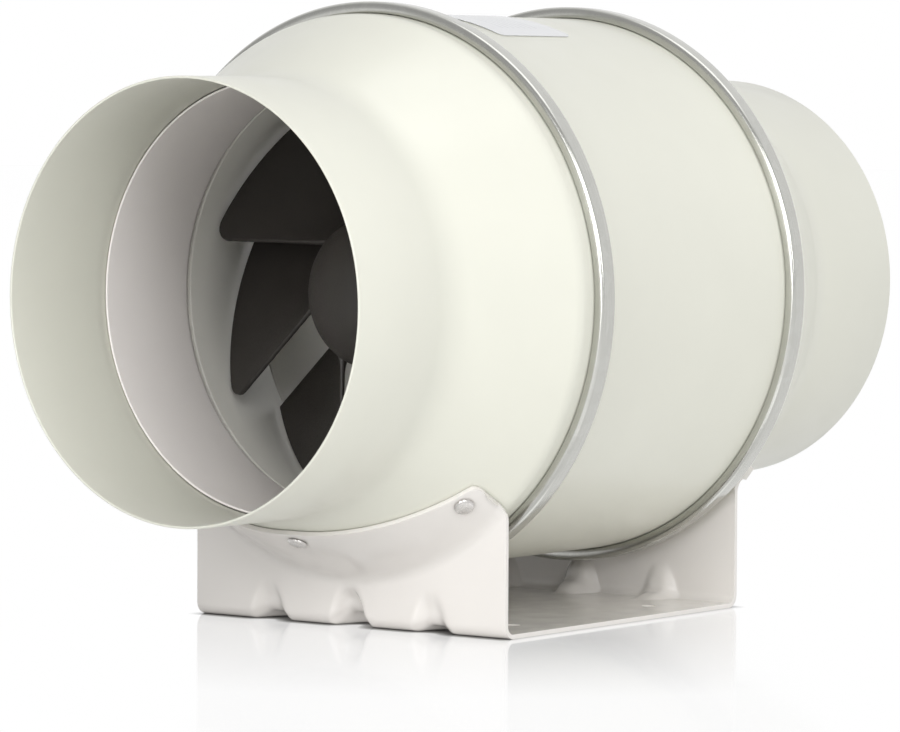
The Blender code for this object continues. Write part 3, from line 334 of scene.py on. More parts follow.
def keep_modified(piece, sharp=35):
    """Turn a piece's modifiers into plain mesh."""
    graph = bpy.context.evaluated_depsgraph_get()
    mesh = bpy.data.meshes.new_from_object(piece.evaluated_get(graph), depsgraph=graph)
    old = piece.data
    piece.modifiers.clear()
    piece.data = mesh
    mesh.name = piece.name
    bpy.data.meshes.remove(old)
    mesh.shade_smooth()
    mesh.set_sharp_from_angle(angle=math.radians(sharp))


def combine(piece, operation, *shapes, sharp=35, at_axis=True):
    """Cut shapes out of a piece, or join them on."""
    tools = []
    for shape in shapes:
        if at_axis:
            put(shape, TO_AXIS)
        mesh = mesh_of("tool", shape)
        mesh.materials.append(piece.data.materials[0])
        tool = new_object("tool", mesh)
        tool.hide_render = True
        modifier = piece.modifiers.new("shape", "BOOLEAN")
        modifier.operation = operation
        modifier.solver = "EXACT"
        modifier.object = tool
        tools.append(tool)
    bpy.context.view_layer.update()
    keep_modified(piece, sharp)
    for tool in tools:
        mesh = tool.data
        bpy.data.objects.remove(tool, do_unlink=True)
        bpy.data.meshes.remove(mesh)


# ---------------- materials
def feed(tree, node, inputs):
    """Set a node's inputs, by name or number, to values or to other nodes' outputs."""
    for key, value in inputs.items():
        socket = node.inputs[key]
        if isinstance(value, bpy.types.NodeSocket):
            tree.links.new(value, socket)
        else:
            socket.default_value = (*value, 1.0) if socket.type == "RGBA" else value


def add_node(tree, kind, inputs, **settings):
    """A new shader node with its settings and its inputs."""
    node = tree.nodes.new("ShaderNode" + kind)
    for name, value in settings.items():
        setattr(node, name, value)
    feed(tree, node, inputs)
    return node


def new_material(name, colour, roughness, metallic=0.0):
    """A Principled material, with its node tree, its shader and its object coordinates."""
    material = bpy.data.materials.new(name)
    material.use_nodes = True
    tree = material.node_tree
    shader = tree.nodes["Principled BSDF"]
    feed(tree, shader, {"Base Color": colour, "Roughness": roughness, "Metallic": metallic})
    material.diffuse_color = (*colour, 1.0)
    return material, tree, shader, add_node(tree, "TexCoord", {}).outputs["Object"]


def stretched(tree, place, scale):
    """Object coordinates scaled by a different amount along each axis."""
    return add_node(tree, "Mapping", {"Vector": place, "Scale": scale}).outputs["Vector"]


def noise_of(tree, place, scale, detail=3.0, roughness=0.5):
    """A noise texture's value, from 0 to 1 round a half."""
    return add_node(tree, "TexNoise", {"Vector": place, "Scale": scale, "Detail": detail,
                                       "Roughness": roughness}).outputs["Fac"]


def ranged(tree, value, low, high, start=0.3, stop=0.7):
    """A value spread from one range onto another, clamped."""
    return add_node(tree, "MapRange", {"Value": value, "From Min": start, "From Max": stop,
                                       "To Min": low, "To Max": high}).outputs["Result"]


def computed(tree, operation, *values):
    """A maths node's result."""
    return add_node(tree, "Math", dict(enumerate(values)), operation=operation).outputs["Value"]


def mixed(tree, factor, first, second):
    """A colour between two colours."""
    return add_node(tree, "Mix", {"Factor": factor, 6: first, 7: second},
                    data_type="RGBA").outputs[2]


def relief(tree, height, distance):
    """A bumped normal from a height, as deep as the distance."""
    return add_node(tree, "Bump", {"Height": height, "Strength": 1.0,
                                   "Distance": distance}).outputs["Normal"]


def paint(name, colour, roughness, peel, coat):
    """Powder coat: an orange peel, faint clouding in colour, and a slightly uneven gloss."""
    material, tree, shader, place = new_material(name, colour, roughness)
    cloud = ranged(tree, noise_of(tree, place, 14.0), 0.0, 1.0)
    shade = tuple(channel * 0.965 for channel in colour)
    uneven = noise_of(tree, place, 60.0)
    feed(tree, shader, {"Base Color": mixed(tree, cloud, colour, shade),
                        "Roughness": ranged(tree, uneven, roughness - 0.03, roughness + 0.05),
                        "Normal": relief(tree, noise_of(tree, place, 420.0, 1.0), peel),
                        "Coat Weight": coat, "Coat Roughness": 0.12})
    return material


def galvanised():
    """Galvanised strip: faint zinc spangle and rolling streaks that run round the band."""
    light, dark = (0.58, 0.58, 0.55), (0.50, 0.50, 0.47)
    material, tree, shader, place = new_material("galvanised_steel", light, 0.26, 1.0)
    spangle = add_node(tree, "TexVoronoi", {"Vector": place, "Scale": 210.0}).outputs["Color"]
    grey = add_node(tree, "RGBToBW", {"Color": spangle}).outputs["Val"]
    streaks = noise_of(tree, stretched(tree, place, (30.0, 2400.0, 30.0)), 1.0, 4.0)
    base = mixed(tree, ranged(tree, grey, 0.0, 0.35, 0.2, 0.8), light, dark)
    feed(tree, shader, {"Base Color": mixed(tree, ranged(tree, streaks, 0.0, 0.5), base, dark),
                        "Roughness": ranged(tree, streaks, 0.17, 0.25),
                        "Normal": relief(tree, streaks, 0.00001)})
    return material


def metal(name, colour, roughness, grain, depth, scale=(1.0, 1.0, 1.0), dark=0.75):
    """Bare or plated metal with a grain, which a scale can draw out into streaks."""
    material, tree, shader, place = new_material(name, colour, roughness, 1.0)
    marks = noise_of(tree, stretched(tree, place, scale), grain, 4.0, 0.6)
    shade = tuple(channel * dark for channel in colour)
    feed(tree, shader, {"Base Color": mixed(tree, ranged(tree, marks, 0.0, 1.0), colour, shade),
                        "Roughness": ranged(tree, marks, roughness - 0.06, roughness + 0.10),
                        "Normal": relief(tree, marks, depth)})
    return material


def moulded(name, colour, roughness, depth, lift=1.35):
    """Moulded plastic or rubber: a fine spark-eroded grain and faint flow clouding."""
    material, tree, shader, place = new_material(name, colour, roughness)
    cloud = ranged(tree, noise_of(tree, place, 24.0, 4.0), 0.0, 1.0)
    pale = tuple(min(1.0, channel * lift) for channel in colour)
    fine = noise_of(tree, place, 1500.0, 2.0)
    feed(tree, shader, {"Base Color": mixed(tree, cloud, colour, pale),
                        "Roughness": ranged(tree, fine, roughness - 0.06, roughness + 0.08),
                        "Normal": relief(tree, fine, depth)})
    return material


def winding():
    """Varnished copper wire wound round the axis: fine turns in colour and in relief."""
    light, dark = (0.60, 0.25, 0.10), (0.22, 0.07, 0.03)
    material, tree, shader, place = new_material("copper_winding", light, 0.35, 1.0)
    wires = add_node(tree, "TexWave", {"Vector": place, "Scale": 180.0, "Distortion": 3.0},
                     wave_type="BANDS", bands_direction="Y").outputs["Fac"]
    feed(tree, shader, {"Base Color": mixed(tree, wires, dark, light),
                        "Normal": relief(tree, wires, 0.0004)})
    return material


def laminations():
    """Stacked steel sheets: fine rings across the axis under a dull varnish."""
    light, dark = (0.26, 0.26, 0.27), (0.12, 0.12, 0.13)
    material, tree, shader, place = new_material("lamination_steel", light, 0.5, 1.0)
    rings = noise_of(tree, stretched(tree, place, (4.0, 2000.0, 4.0)), 1.0, 2.0)
    feed(tree, shader, {"Base Color": mixed(tree, ranged(tree, rings, 0.0, 1.0), dark, light),
                        "Normal": relief(tree, rings, 0.0001)})
    return material


def label_print():
    """A white film with a few plain grey rules, and nothing to read."""
    white, grey = (0.80, 0.81, 0.83), (0.60, 0.61, 0.64)
    material, tree, shader, place = new_material("label_film", white, 0.22)
    parts = add_node(tree, "SeparateXYZ", {"Vector": place}).outputs
    across = computed(tree, "PINGPONG", parts["Y"], LABEL_PITCH)
    ink = ranged(tree, across, 1.0, 0.0, 0.0003, 0.0004)
    for axis, middle, half in LABEL_RULES:
        inside = computed(tree, "COMPARE", parts[axis], middle, half)
        ink = computed(tree, "MULTIPLY", inside, ink)
    feed(tree, shader, {"Base Color": mixed(tree, ink, white, grey),
                        "Normal": relief(tree, noise_of(tree, place, 700.0), 0.00002)})
    return material


MATERIALS = {
    "casing_paint": paint("casing_paint", (0.80, 0.80, 0.71), 0.33, 0.00001, 0.15),
    "bracket_paint": paint("bracket_paint", (0.84, 0.81, 0.78), 0.22, 0.000008, 0.35),
    "liner_paint": paint("liner_paint", (0.90, 0.86, 0.84), 0.33, 0.00001, 0.2),
    "galvanised_steel": galvanised(),
    "zinc_screw": metal("zinc_screw", (0.62, 0.62, 0.58), 0.28, 900.0, 0.00003),
    "bright_rivet": metal("bright_rivet", (0.70, 0.68, 0.66), 0.28, 1300.0, 0.00003),
    "charcoal_plastic": moulded("charcoal_plastic", (0.019, 0.016, 0.014), 0.44, 0.00003),
    "liner_plastic": moulded("liner_plastic", (0.84, 0.83, 0.78), 0.34, 0.00001, lift=1.05),
    "motor_alloy": metal("motor_alloy", (0.56, 0.57, 0.58), 0.42, 700.0, 0.0001),
    "lamination_steel": laminations(),
    "copper_winding": winding(),
    "ground_steel": metal("ground_steel", (0.62, 0.62, 0.62), 0.20, 1.0, 0.00002,
                          scale=(60.0, 2200.0, 60.0), dark=0.85),
    "black_rubber": moulded("black_rubber", (0.018, 0.018, 0.018), 0.66, 0.00005),
    "box_plastic": moulded("box_plastic", (0.040, 0.041, 0.043), 0.46, 0.00006),
    "terminal_plastic": moulded("terminal_plastic", (0.74, 0.73, 0.65), 0.42, 0.00003, lift=1.1),
    "capacitor_case": moulded("capacitor_case", (0.60, 0.61, 0.62), 0.38, 0.00003, lift=1.1),
    "label_film": label_print(),
}
for node, shown in frame["nodes"].items():
    shown.data.materials.clear()
    shown.data.materials.append(MATERIALS[NODE_SLOT[node]])


# ---------------- casing
def add_casing():
    """Three painted shells with rounded rims, and the gaskets between their flanges."""
    flange = FLANGE_REAR - SHEET
    bowl = [(-HALF_LENGTH, SPIGOT_RADIUS), (-CONE_START, SPIGOT_RADIUS),
            (-CONE_END, BODY_RADIUS), (flange, BODY_RADIUS), (flange, FLANGE_RADIUS)]
    outline = sheet_outline(bowl, SHEET, radii=[0.040, 0.014, SHARP_BEND], steps=14)
    add("inlet_casing_shell", turned(outline), "inlet_casing")
    add("outlet_casing_shell", turned(mirrored(outline)), "outlet_casing")

    flange = CENTRE_REAR - SHEET
    middle = [(-flange, FLANGE_RADIUS), (-flange, BODY_RADIUS),
              (flange, BODY_RADIUS), (flange, FLANGE_RADIUS)]
    outline = sheet_outline(middle, SHEET, radii=[SHARP_BEND, SHARP_BEND], steps=4)
    centre = add("centre_casing_shell", turned(outline), "centre_casing")
    hole = rod((-BODY_RADIUS - 0.01, LEAD_Y, 0), (-BODY_RADIUS + 0.01, LEAD_Y, 0), LEAD_HOLE)
    combine(centre, "DIFFERENCE", hole)

    for node in ("front_gasket", "rear_gasket"):
        low, high = reach(node, 0, "y"), reach(node, 1, "y")
        section = block_outline([(low, BODY_RADIUS), (low, FLANGE_RADIUS),
                                 (high, FLANGE_RADIUS), (high, BODY_RADIUS)], 0.0002)
        add(node + "_ring", turned(section), node)


# ---------------- clamp bands
def hexagon(low, high, radius, bore=0.0, bevel=0.0004):
    """A six-sided head or nut along Y with broken edges, and a hole if asked."""
    if bore:
        solid = turned([(low, bore), (low, radius), (high, radius), (high, bore)], 6)
    else:
        solid = spun([(low, 0), (low, radius), (high, radius), (high, 0)], 6)
    edges = [edge for edge in solid.edges if edge.calc_face_angle(0.0) > 0.5]
    bmesh.ops.bevel(solid, geom=edges, offset=bevel, segments=2, affect="EDGES", profile=0.5)
    return solid


def threaded(start, end, radius):
    """Outline of a screw's shank with its thread's crests and roots."""
    root = radius - THREAD_DEPTH
    line = [(start, 0.0), (start, root - HAIR)]
    for turn in range(int((end - start) / THREAD_PITCH)):
        line += [(start + (turn + 0.25) * THREAD_PITCH, radius),
                 (start + (turn + 0.75) * THREAD_PITCH, root)]
    return line + [(end, root), (end, 0.0)]


def clamp_frame(side):
    """Maps x along the closure's bolt, y along the fan and z outward, to the fan's axis frame."""
    outward = Vector((math.cos(CLAMP_ANGLE), 0, math.sin(CLAMP_ANGLE)))
    along = Vector((0, 1, 0)).cross(outward)
    turn = Matrix((along, (0, 1, 0), outward)).transposed().to_4x4()
    return Matrix.Translation((0, side * JOINT, 0)) @ turn


def add_clamp(prefix, side):
    """A channel band with bent lugs, and the bolt and nut that pull its ends together."""
    frame_here = clamp_frame(side)
    half = BAND_HALF_WIDTH
    section = [(-half, BAND_LIP_RADIUS), (-half, BAND_RADIUS), (half, BAND_RADIUS),
               (half, BAND_LIP_RADIUS)]
    section = sheet_outline(section, SHEET, radii=[BAND_BEND, BAND_BEND], steps=8)
    section = [Vector((y + side * JOINT, r)) for y, r in section]
    ring = turned(section, ROUND, CLAMP_ANGLE + CLAMP_GAP, math.tau - 2 * CLAMP_GAP)
    band = add(prefix + "_band_channel", ring, prefix + "_clamp_band")

    inner = BAND_RADIUS * math.sin(CLAMP_GAP) - 0.0004
    low, high = FLANGE_RADIUS + 2 * GAP, BAND_RADIUS + LUG_HEIGHT
    height, wide = high - BOLT_DROP, half - HAIR
    lugs = []
    for direction in (-1, 1):
        ends = sorted((direction * inner, direction * (inner + LUG_SHEET)))
        lug = box((ends[0], -wide, low), (ends[1], wide, high), 0.0007, 3)
        lugs.append(put(lug, frame_here))
    end = inner + 2 * LUG_SHEET
    hole = put(rod((-end, 0, height), (end, 0, height), BOLT_HOLE), frame_here)
    combine(band, "UNION", *lugs)
    combine(band, "DIFFERENCE", hole)

    outer = inner + LUG_SHEET + GAP
    along = frame_here @ Matrix.Translation((0, 0, height)) @ Matrix.Rotation(-math.pi / 2, 4, "Z")
    bolt = merged(spun(threaded(-outer - 0.008, outer + 0.001, BOLT_RADIUS)),
                  hexagon(outer, outer + 0.004, BOLT_HEAD))
    add(prefix + "_bolt", put(bolt, along), prefix + "_clamp_bolt", sharp=28)
    bore = (BOLT_RADIUS + GAP) / math.cos(math.pi / 6)
    nut = hexagon(-outer - 0.005, -outer, BOLT_HEAD, bore)
    add(prefix + "_nut", put(nut, along), prefix + "_clamp_nut", sharp=28)


# ---------------- liners and stator
def add_liners():
    """The inlet and outlet rings with their curled edges, and the impeller's shroud."""
    flange, rim = RING_REAR - SHEET, RING_FLANGE_RADIUS
    for node, end_radius in (("inlet_ring", THROAT_END_RADIUS),
                             ("outlet_ring", SHROUD_REAR_RADIUS)):
        line = [(RING_LIP, THROAT_RADIUS + SHEET), (flange, end_radius + SHEET), (flange, rim)]
        outline = sheet_outline(line, SHEET, radii=[0.004], steps=12)
        if node == "outlet_ring":
            outline = mirrored(outline)
        add(node + "_liner", turned(outline), node)

    flange = SHROUD_FRONT + SHROUD_SHEET
    outline = [(SHROUD_FRONT, rim), (SHROUD_FRONT, SHROUD_FRONT_RADIUS),
               (SHROUD_REAR, SHROUD_REAR_RADIUS),
               (SHROUD_REAR, SHROUD_REAR_RADIUS + SHROUD_SHEET),
               (flange, SHROUD_FRONT_RADIUS + SHROUD_SHEET), (flange, rim)]
    add("shroud_liner", turned(block_outline(outline)), "impeller_shroud")


def edge_shares(count, edge):
    """Shares from 0 to 1 with extra rows close to both ends, where the edges are rounded."""
    close = [0.0, 0.12 * edge, 0.4 * edge, edge]
    inner = [edge + (1 - 2 * edge) * step / count for step in range(1, count)]
    return close + inner + [1 - share for share in close[::-1]]


def round_edge(share, edge):
    """How much of its thickness a sheet has at a share of its width, with round edges."""
    near = min(share, 1 - share) / edge
    return math.sqrt(max(0.0, 1 - (1 - min(near, 1.0)) ** 2)) + 0.02


def normal_at(rows, i, j):
    """The direction square to a grid of points at one of them."""
    across = rows[min(i + 1, len(rows) - 1)][j] - rows[max(i - 1, 0)][j]
    along = rows[i][min(j + 1, len(rows[i]) - 1)] - rows[i][max(j - 1, 0)]
    return across.cross(along).normalized()


def foil(rows, half):
    """A closed sheet round a middle surface; half(i, j) is its half thickness at a point."""
    front, back = ([[point + normal_at(rows, i, j) * half(i, j) * side
                     for j, point in enumerate(row)] for i, row in enumerate(rows)]
                   for side in (1, -1))
    return slab(front, back)


def stator_vane(number, front, rear):
    """One guide vane, turned into the swirl in front and straight behind."""
    start = math.tau * number / VANE_COUNT
    low, high = VANE_HUB_RADIUS - 0.001, SHROUD_REAR_RADIUS + 0.001
    edge = 0.016
    shares = edge_shares(16, edge)
    rows = []
    for share in shares:
        angle = start + VANE_TURN * (1 - share) ** 2
        y = front + (rear - front) * share
        rows.append([Vector((r * math.cos(angle), y, r * math.sin(angle)))
                     for r in (low + (high - low) * step / 8 for step in range(9))])
    root = [0.0011 * math.exp(-min(step, 8 - step) * 2.6) for step in range(9)]
    return foil(rows, lambda i, j: (VANE_SHEET / 2 + root[j]) * round_edge(shares[i], edge))


def add_stator():
    """Guide vane ring with its flange, hub, motor seat and vanes, and the tail cone."""
    inner, outer = SHROUD_REAR_RADIUS, SHROUD_REAR_RADIUS + SHROUD_SHEET
    front, rear, rim = VANE_RING_FRONT, VANE_RING_REAR, RING_FLANGE_RADIUS
    ring = block_outline([(front, inner), (rear, inner), (rear, rim), (rear - SHROUD_SHEET, rim),
                          (rear - SHROUD_SHEET, outer), (front, outer)])
    seat, hub_inner = MOTOR_REAR + GAP, VANE_HUB_RADIUS - VANE_SHEET
    hub_front = front + 0.006
    hub = block_outline([(hub_front, hub_inner), (hub_front, VANE_HUB_RADIUS),
                         (seat + VANE_SEAT, VANE_HUB_RADIUS),
                         (seat + VANE_SEAT, VANE_SEAT_BORE), (seat, VANE_SEAT_BORE),
                         (seat, hub_inner)])
    vanes = [stator_vane(number, front + 0.010, seat + 0.004) for number in range(VANE_COUNT)]
    stator = add("stator_ring", merged(turned(ring), turned(hub, MIDDLE), *vanes),
                 "guide_vane_ring")
    passage = rod((-outer - 0.004, LEAD_Y, 0), (-hub_inner + 0.004, LEAD_Y, 0),
                  LEAD_RADIUS + 0.0012)
    combine(stator, "DIFFERENCE", passage)

    cone = rounded([(TAIL_FRONT, VANE_HUB_RADIUS - 0.0005), TAIL_WAIST,
                    (TAIL_REAR - 0.006, TAIL_TIP_RADIUS), (TAIL_REAR, 0.0)], [0.030, 0.016], 14)
    inside = offset_line(cone[:-1], -TAIL_WALL) + [Vector((TAIL_REAR - TAIL_WALL, 0.0))]
    add("tail_cone_shell", spun(cone + inside[::-1], MIDDLE), "tail_cone")


# ---------------- impeller
def shroud_radius(y):
    """Inner radius of the impeller's shroud at a station along the axis."""
    share = min(max((y - SHROUD_FRONT) / (SHROUD_REAR - SHROUD_FRONT), 0.0), 1.0)
    return SHROUD_FRONT_RADIUS + (SHROUD_REAR_RADIUS - SHROUD_FRONT_RADIUS) * share


def hub_radius(y):
    """Outer radius of the impeller's cone at a station along the axis."""
    share = (y - HUB_FRONT) / (HUB_REAR - HUB_FRONT)
    return HUB_FRONT_RADIUS + (HUB_REAR_RADIUS - HUB_FRONT_RADIUS) * share


def blade(number):
    """One swept blade with round edges, thicker where it grows out of the hub."""
    turn = math.pi + math.tau * number / BLADE_COUNT
    chord = BLADE_SPAN * SPIGOT_RADIUS
    edge, columns = BLADE_SHEET / 2 / chord, 18
    shares = sorted(edge_shares(22, edge)
                    + [share * BLADE_CORNER / chord for share in (0.2, 0.4, 0.6, 0.8)])
    steps = [0.0, 0.015, 0.035] + [0.06 + 0.925 * step / columns for step in range(columns)]
    steps += [0.993, 0.998, 1.0]
    rows, roots = [], []
    for share in shares:
        y = BLADE_FRONT + (BLADE_REAR - BLADE_FRONT) * share
        into_corner = 1 - min(share * chord / BLADE_CORNER, 1.0)
        missing = BLADE_CORNER * (1 - math.sqrt(1 - into_corner ** 2))
        tip = shroud_radius(y) - TIP_CLEARANCE - missing
        root = hub_radius(y) - HUB_SHEET / 2
        row = []
        for step in steps:
            r = root + (tip - root) * step
            angle = turn - math.asin(BLADE_OFFSET / r) - BLADE_SPAN * share
            row.append(Vector((r * math.cos(angle), y, r * math.sin(angle))))
        rows.append(row)
        roots.append(tip - root)

    def half(i, j):
        above_hub = steps[j] * roots[i] - HUB_SHEET / 2
        flare = BLADE_FILLET * math.exp(-max(above_hub, 0.0) / BLADE_FILLET)
        tip_edge = round_edge(max(0.5, steps[j]), 0.010)
        return (BLADE_SHEET / 2 + flare) * round_edge(shares[i], edge) * tip_edge

    return foil(rows, half)


def add_impeller():
    """Hub and blades in one moulding, with the nose cap over its nut."""
    bore, boss, web = 0.0053, 0.011, HUB_FRONT + 0.008
    web_rear, boss_rear = web + 0.003, HUB_REAR - 0.004
    hub = block_outline([(web, bore), (web, hub_radius(web) - HUB_SHEET),
                         (HUB_FRONT, HUB_FRONT_RADIUS - HUB_SHEET),
                         (HUB_FRONT, HUB_FRONT_RADIUS), (HUB_REAR, HUB_REAR_RADIUS),
                         (HUB_REAR, HUB_REAR_RADIUS - HUB_SHEET),
                         (web_rear, hub_radius(web_rear) - HUB_SHEET), (web_rear, boss),
                         (boss_rear, boss), (boss_rear, bore)], 0.0005)
    blades = [blade(number) for number in range(BLADE_COUNT)]
    add("impeller_moulding", merged(turned(hub, MIDDLE), *blades), "impeller", sharp=40)

    wall, rear = 0.002, HUB_FRONT - GAP
    length = rear - NOSE_FRONT
    dome = [Vector((rear - length * math.sin(angle), HUB_FRONT_RADIUS * math.cos(angle)))
            for angle in (math.pi / 2 * step / CURVE for step in range(CURVE + 1))]
    dome[-1].y = 0.0
    inside = [Vector((rear - (rear - y) * (1 - wall / length),
                      r * (1 - wall / HUB_FRONT_RADIUS))) for y, r in dome]
    inside[-1].y = 0.0
    add("nose_dome", spun(dome[::-1] + inside, MIDDLE), "nose_cap")


# ---------------- foot
def smooth(share):
    """Ease from 0 to 1."""
    share = min(max(share, 0.0), 1.0)
    return share * share * (3 - 2 * share)


def gusset_push(x, along):
    """How far the pressed gussets move the sheet in, at a place across and along the bend."""
    push = 0.0
    for number, depth in enumerate(GUSSET_DEPTHS):
        half_width = GUSSET_HALF_WIDTH * (1 - 0.55 * min(abs(along) / GUSSET_REACH, 1.0))
        across = abs(x - (number - 1) * GUSSET_SPACING) / half_width
        push += depth * smooth(1.25 * (1 - across))
    return push * smooth(1.15 * (1 - abs(along) / GUSSET_REACH))


def saddle_point(x, crease, edge, share):
    """A point of the saddle on the cone, from its crease at share 0 to its edge at share 1."""
    r = crease + (edge - crease) * share
    px = x * (1 + (SADDLE_NARROWING - 1) * share)
    return Vector((px, -BASE_HALF_LENGTH - (crease - r) / CONE_SLOPE,
                   AXIS.z - math.sqrt(r * r - px * px)))


def bracket_column(x):
    """The outer side of half the foot in one plane across x, from saddle edge to mid plate."""
    lift = (GAP + HAIR + BASE_SHEET) / math.cos(CONE_ANGLE)
    crease = BODY_RADIUS + lift - (BASE_HALF_LENGTH - CONE_END) * CONE_SLOPE
    ear = abs(x) / BASE_HALF_WIDTH
    edge = SADDLE_EDGE[0] + SADDLE_EDGE[1] * ear + SADDLE_EDGE[2] * ear ** 2
    corner = max(0.0, (abs(x) - BASE_HALF_WIDTH + EAR_CORNER) / EAR_CORNER)
    edge += EAR_CORNER * (1 - math.sqrt(max(0.0, 1 - corner ** 2)))
    fold = FOLD_REACH / (crease - edge)
    column = [saddle_point(x, crease, edge, fold + (1 - fold) * (1 - step / 10))
              for step in range(10)]
    start, middle = saddle_point(x, crease, edge, fold), saddle_point(x, crease, edge, 0.0)
    end = middle - Vector((0, 0, FOLD_DROP))
    for step in range(9):
        t = step / 8
        column.append(start * (1 - t) ** 2 + middle * 2 * t * (1 - t) + end * t * t)
    cheek = end.z - BASE_BEND
    for step in range(1, 16):
        column.append(Vector((x, -BASE_HALF_LENGTH, end.z - cheek * step / 16)))
    for step in range(11):
        angle = math.pi / 2 * step / 10
        column.append(Vector((x, -BASE_HALF_LENGTH + BASE_BEND * (1 - math.cos(angle)),
                              BASE_BEND * (1 - math.sin(angle)))))
    plate = -BASE_HALF_LENGTH + BASE_BEND
    for step in range(1, 15):
        column.append(Vector((x, plate + GUSSET_REACH * 1.1 * step / 14, 0.0)))
    for share in (0.3, 0.6, 1.0):
        column.append(Vector((x, (plate + GUSSET_REACH * 1.1) * (1 - share), 0.0)))
    bend = BASE_BEND * math.pi / 4
    for point in column:
        upright, lying = point.z - BASE_BEND, point.y - plate
        if point.y < -BASE_HALF_LENGTH - 1e-6:
            continue
        if upright > 0:
            along = bend + upright
        elif lying > 0:
            along = bend + lying
        else:
            along = abs(math.atan2(upright, -lying) + math.pi / 4) * BASE_BEND
        push = gusset_push(x, along) / math.sqrt(2)
        point.y += push
        point.z += push
    return column


def rivet_places(side):
    """Each rivet's foot on the cone and the cone's outward direction there."""
    for distance, angle in ((RIVET_DISTANCES[0], 0.0), (RIVET_DISTANCES[1], -RIVET_EAR_ANGLE),
                            (RIVET_DISTANCES[1], RIVET_EAR_ANGLE)):
        r = BODY_RADIUS - (distance - CONE_END) * CONE_SLOPE
        foot = Vector((r * math.sin(angle), side * distance, -r * math.cos(angle)))
        outward = Vector((math.sin(angle) * math.cos(CONE_ANGLE), side * math.sin(CONE_ANGLE),
                          -math.cos(angle) * math.cos(CONE_ANGLE)))
        yield foot, outward


def add_foot():
    """The bent sheet foot with pressed gussets and rolled edges, and its six rivets."""
    columns = 150
    near = [BASE_HALF_WIDTH - EAR_CORNER * (1 - math.cos(math.pi / 2 * step / 10))
            for step in range(11)]
    places = [-x for x in near]
    inner = near[-1]
    places += [-inner + 2 * inner * step / columns for step in range(1, columns)]
    places += near[::-1]
    halves = [bracket_column(x) for x in places]
    outside = [half + [Vector((p.x, -p.y, p.z)) for p in half[-2::-1]] for half in halves]
    inside = [[point + normal_at(outside, i, j) * BASE_SHEET for j, point in enumerate(line)]
              for i, line in enumerate(outside)]
    foot = add("foot_bracket", slab(outside, inside), "base_bracket", sharp=50, at_axis=False)
    bevel = foot.modifiers.new("edges", "BEVEL")
    bevel.width, bevel.segments = 0.0006, 3
    bevel.limit_method, bevel.angle_limit = "ANGLE", math.radians(50)
    keep_modified(foot, sharp=50)
    holes = [rod((x, y, -0.002), (x, y, 0.006), BASE_HOLE_RADIUS)
             for x in (-BASE_HOLES[0], BASE_HOLES[0]) for y in (-BASE_HOLES[1], BASE_HOLES[1])]
    combine(foot, "DIFFERENCE", *holes, sharp=50, at_axis=False)

    seat = 2 * GAP + HAIR + BASE_SHEET
    head = rounded([(seat, RIVET_SHANK), (seat, RIVET_HEAD), (seat + 0.0013, 0.0046),
                    (seat + 0.0016, 0.0)], [0.0002, 0.0011], 6)
    profile = [Vector((-RIVET_TAIL, 0.0)), Vector((-RIVET_TAIL, RIVET_SHANK))] + head
    for name, side in (("inlet", -1), ("outlet", 1)):
        for number, (place, outward) in enumerate(rivet_places(side), 1):
            turn = outward.to_track_quat("Y", "Z").to_matrix().to_4x4()
            rivet = put(spun(profile), Matrix.Translation(place) @ turn)
            add(f"{name}_rivet_head_{number}", rivet, f"{name}_rivet_{number}")


# ---------------- terminal box
def add_terminal_box():
    """Terminal box moulded to the casing, with its lid, seal, screws and cable gland."""
    low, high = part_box("terminal_box")
    low, high = low - AXIS, high - AXIS
    thick, deep = BOX_WALL, BOX_WALL + BOX_BOSS
    body = add("terminal_box_body", box(low, (BOX_BACK, high.y, high.z), 0.0026, 5),
               "terminal_box")
    seat = spun([(-HALF_LENGTH, 0), (-HALF_LENGTH, BODY_RADIUS + GAP),
                 (HALF_LENGTH, BODY_RADIUS + GAP), (HALF_LENGTH, 0)], ROUND)
    room = box((low.x - 0.010, low.y + thick, low.z + deep),
               (BOX_FLOOR, high.y - thick, high.z - deep))
    across = box((low.x - 0.011, low.y + deep, low.z + thick),
                 (BOX_FLOOR, high.y - deep, high.z - thick))
    gland_x, gland_y = gland_place()
    openings = [rod((BOX_FLOOR - 0.007, LEAD_Y, 0), (BOX_FLOOR + 0.013, LEAD_Y, 0), LEAD_HOLE),
                rod((gland_x, gland_y, low.z + thick + 0.002),
                    (gland_x, gland_y, low.z - 0.004), GLAND_HOLE)]
    combine(body, "DIFFERENCE", seat, room, across, *openings)

    for node, bevel in (("box_lid", 0.0016), ("box_seal", 0.0003)):
        first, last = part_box(node)
        plate = add(node + "_plate", box(first, last, bevel, 4), node, at_axis=False)
        if node == "box_seal":
            inset = Vector((-0.010, 0.010, 0.010))
            window = box(first + inset, last - inset)
            combine(plate, "DIFFERENCE", window, at_axis=False)
        holes = []
        for number in range(1, 5):
            corner = (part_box(f"lid_screw_{number}")[0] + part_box(f"lid_screw_{number}")[1]) / 2
            holes.append(rod((first.x - 0.002, corner.y, corner.z),
                             (last.x + 0.002, corner.y, corner.z), SCREW_HOLE))
        combine(plate, "DIFFERENCE", *holes, at_axis=False)
        if node == "box_lid":
            sunk, rim = 0.0008, 0.012
            panel = box((first.x - 0.002, first.y + rim, first.z + rim),
                        (first.x + sunk, last.y - rim, last.z - rim), 0.0004, 2)
            combine(plate, "DIFFERENCE", panel, at_axis=False)

    for number in range(1, 5):
        add_lid_screw(number)
    add_gland(gland_x, gland_y)


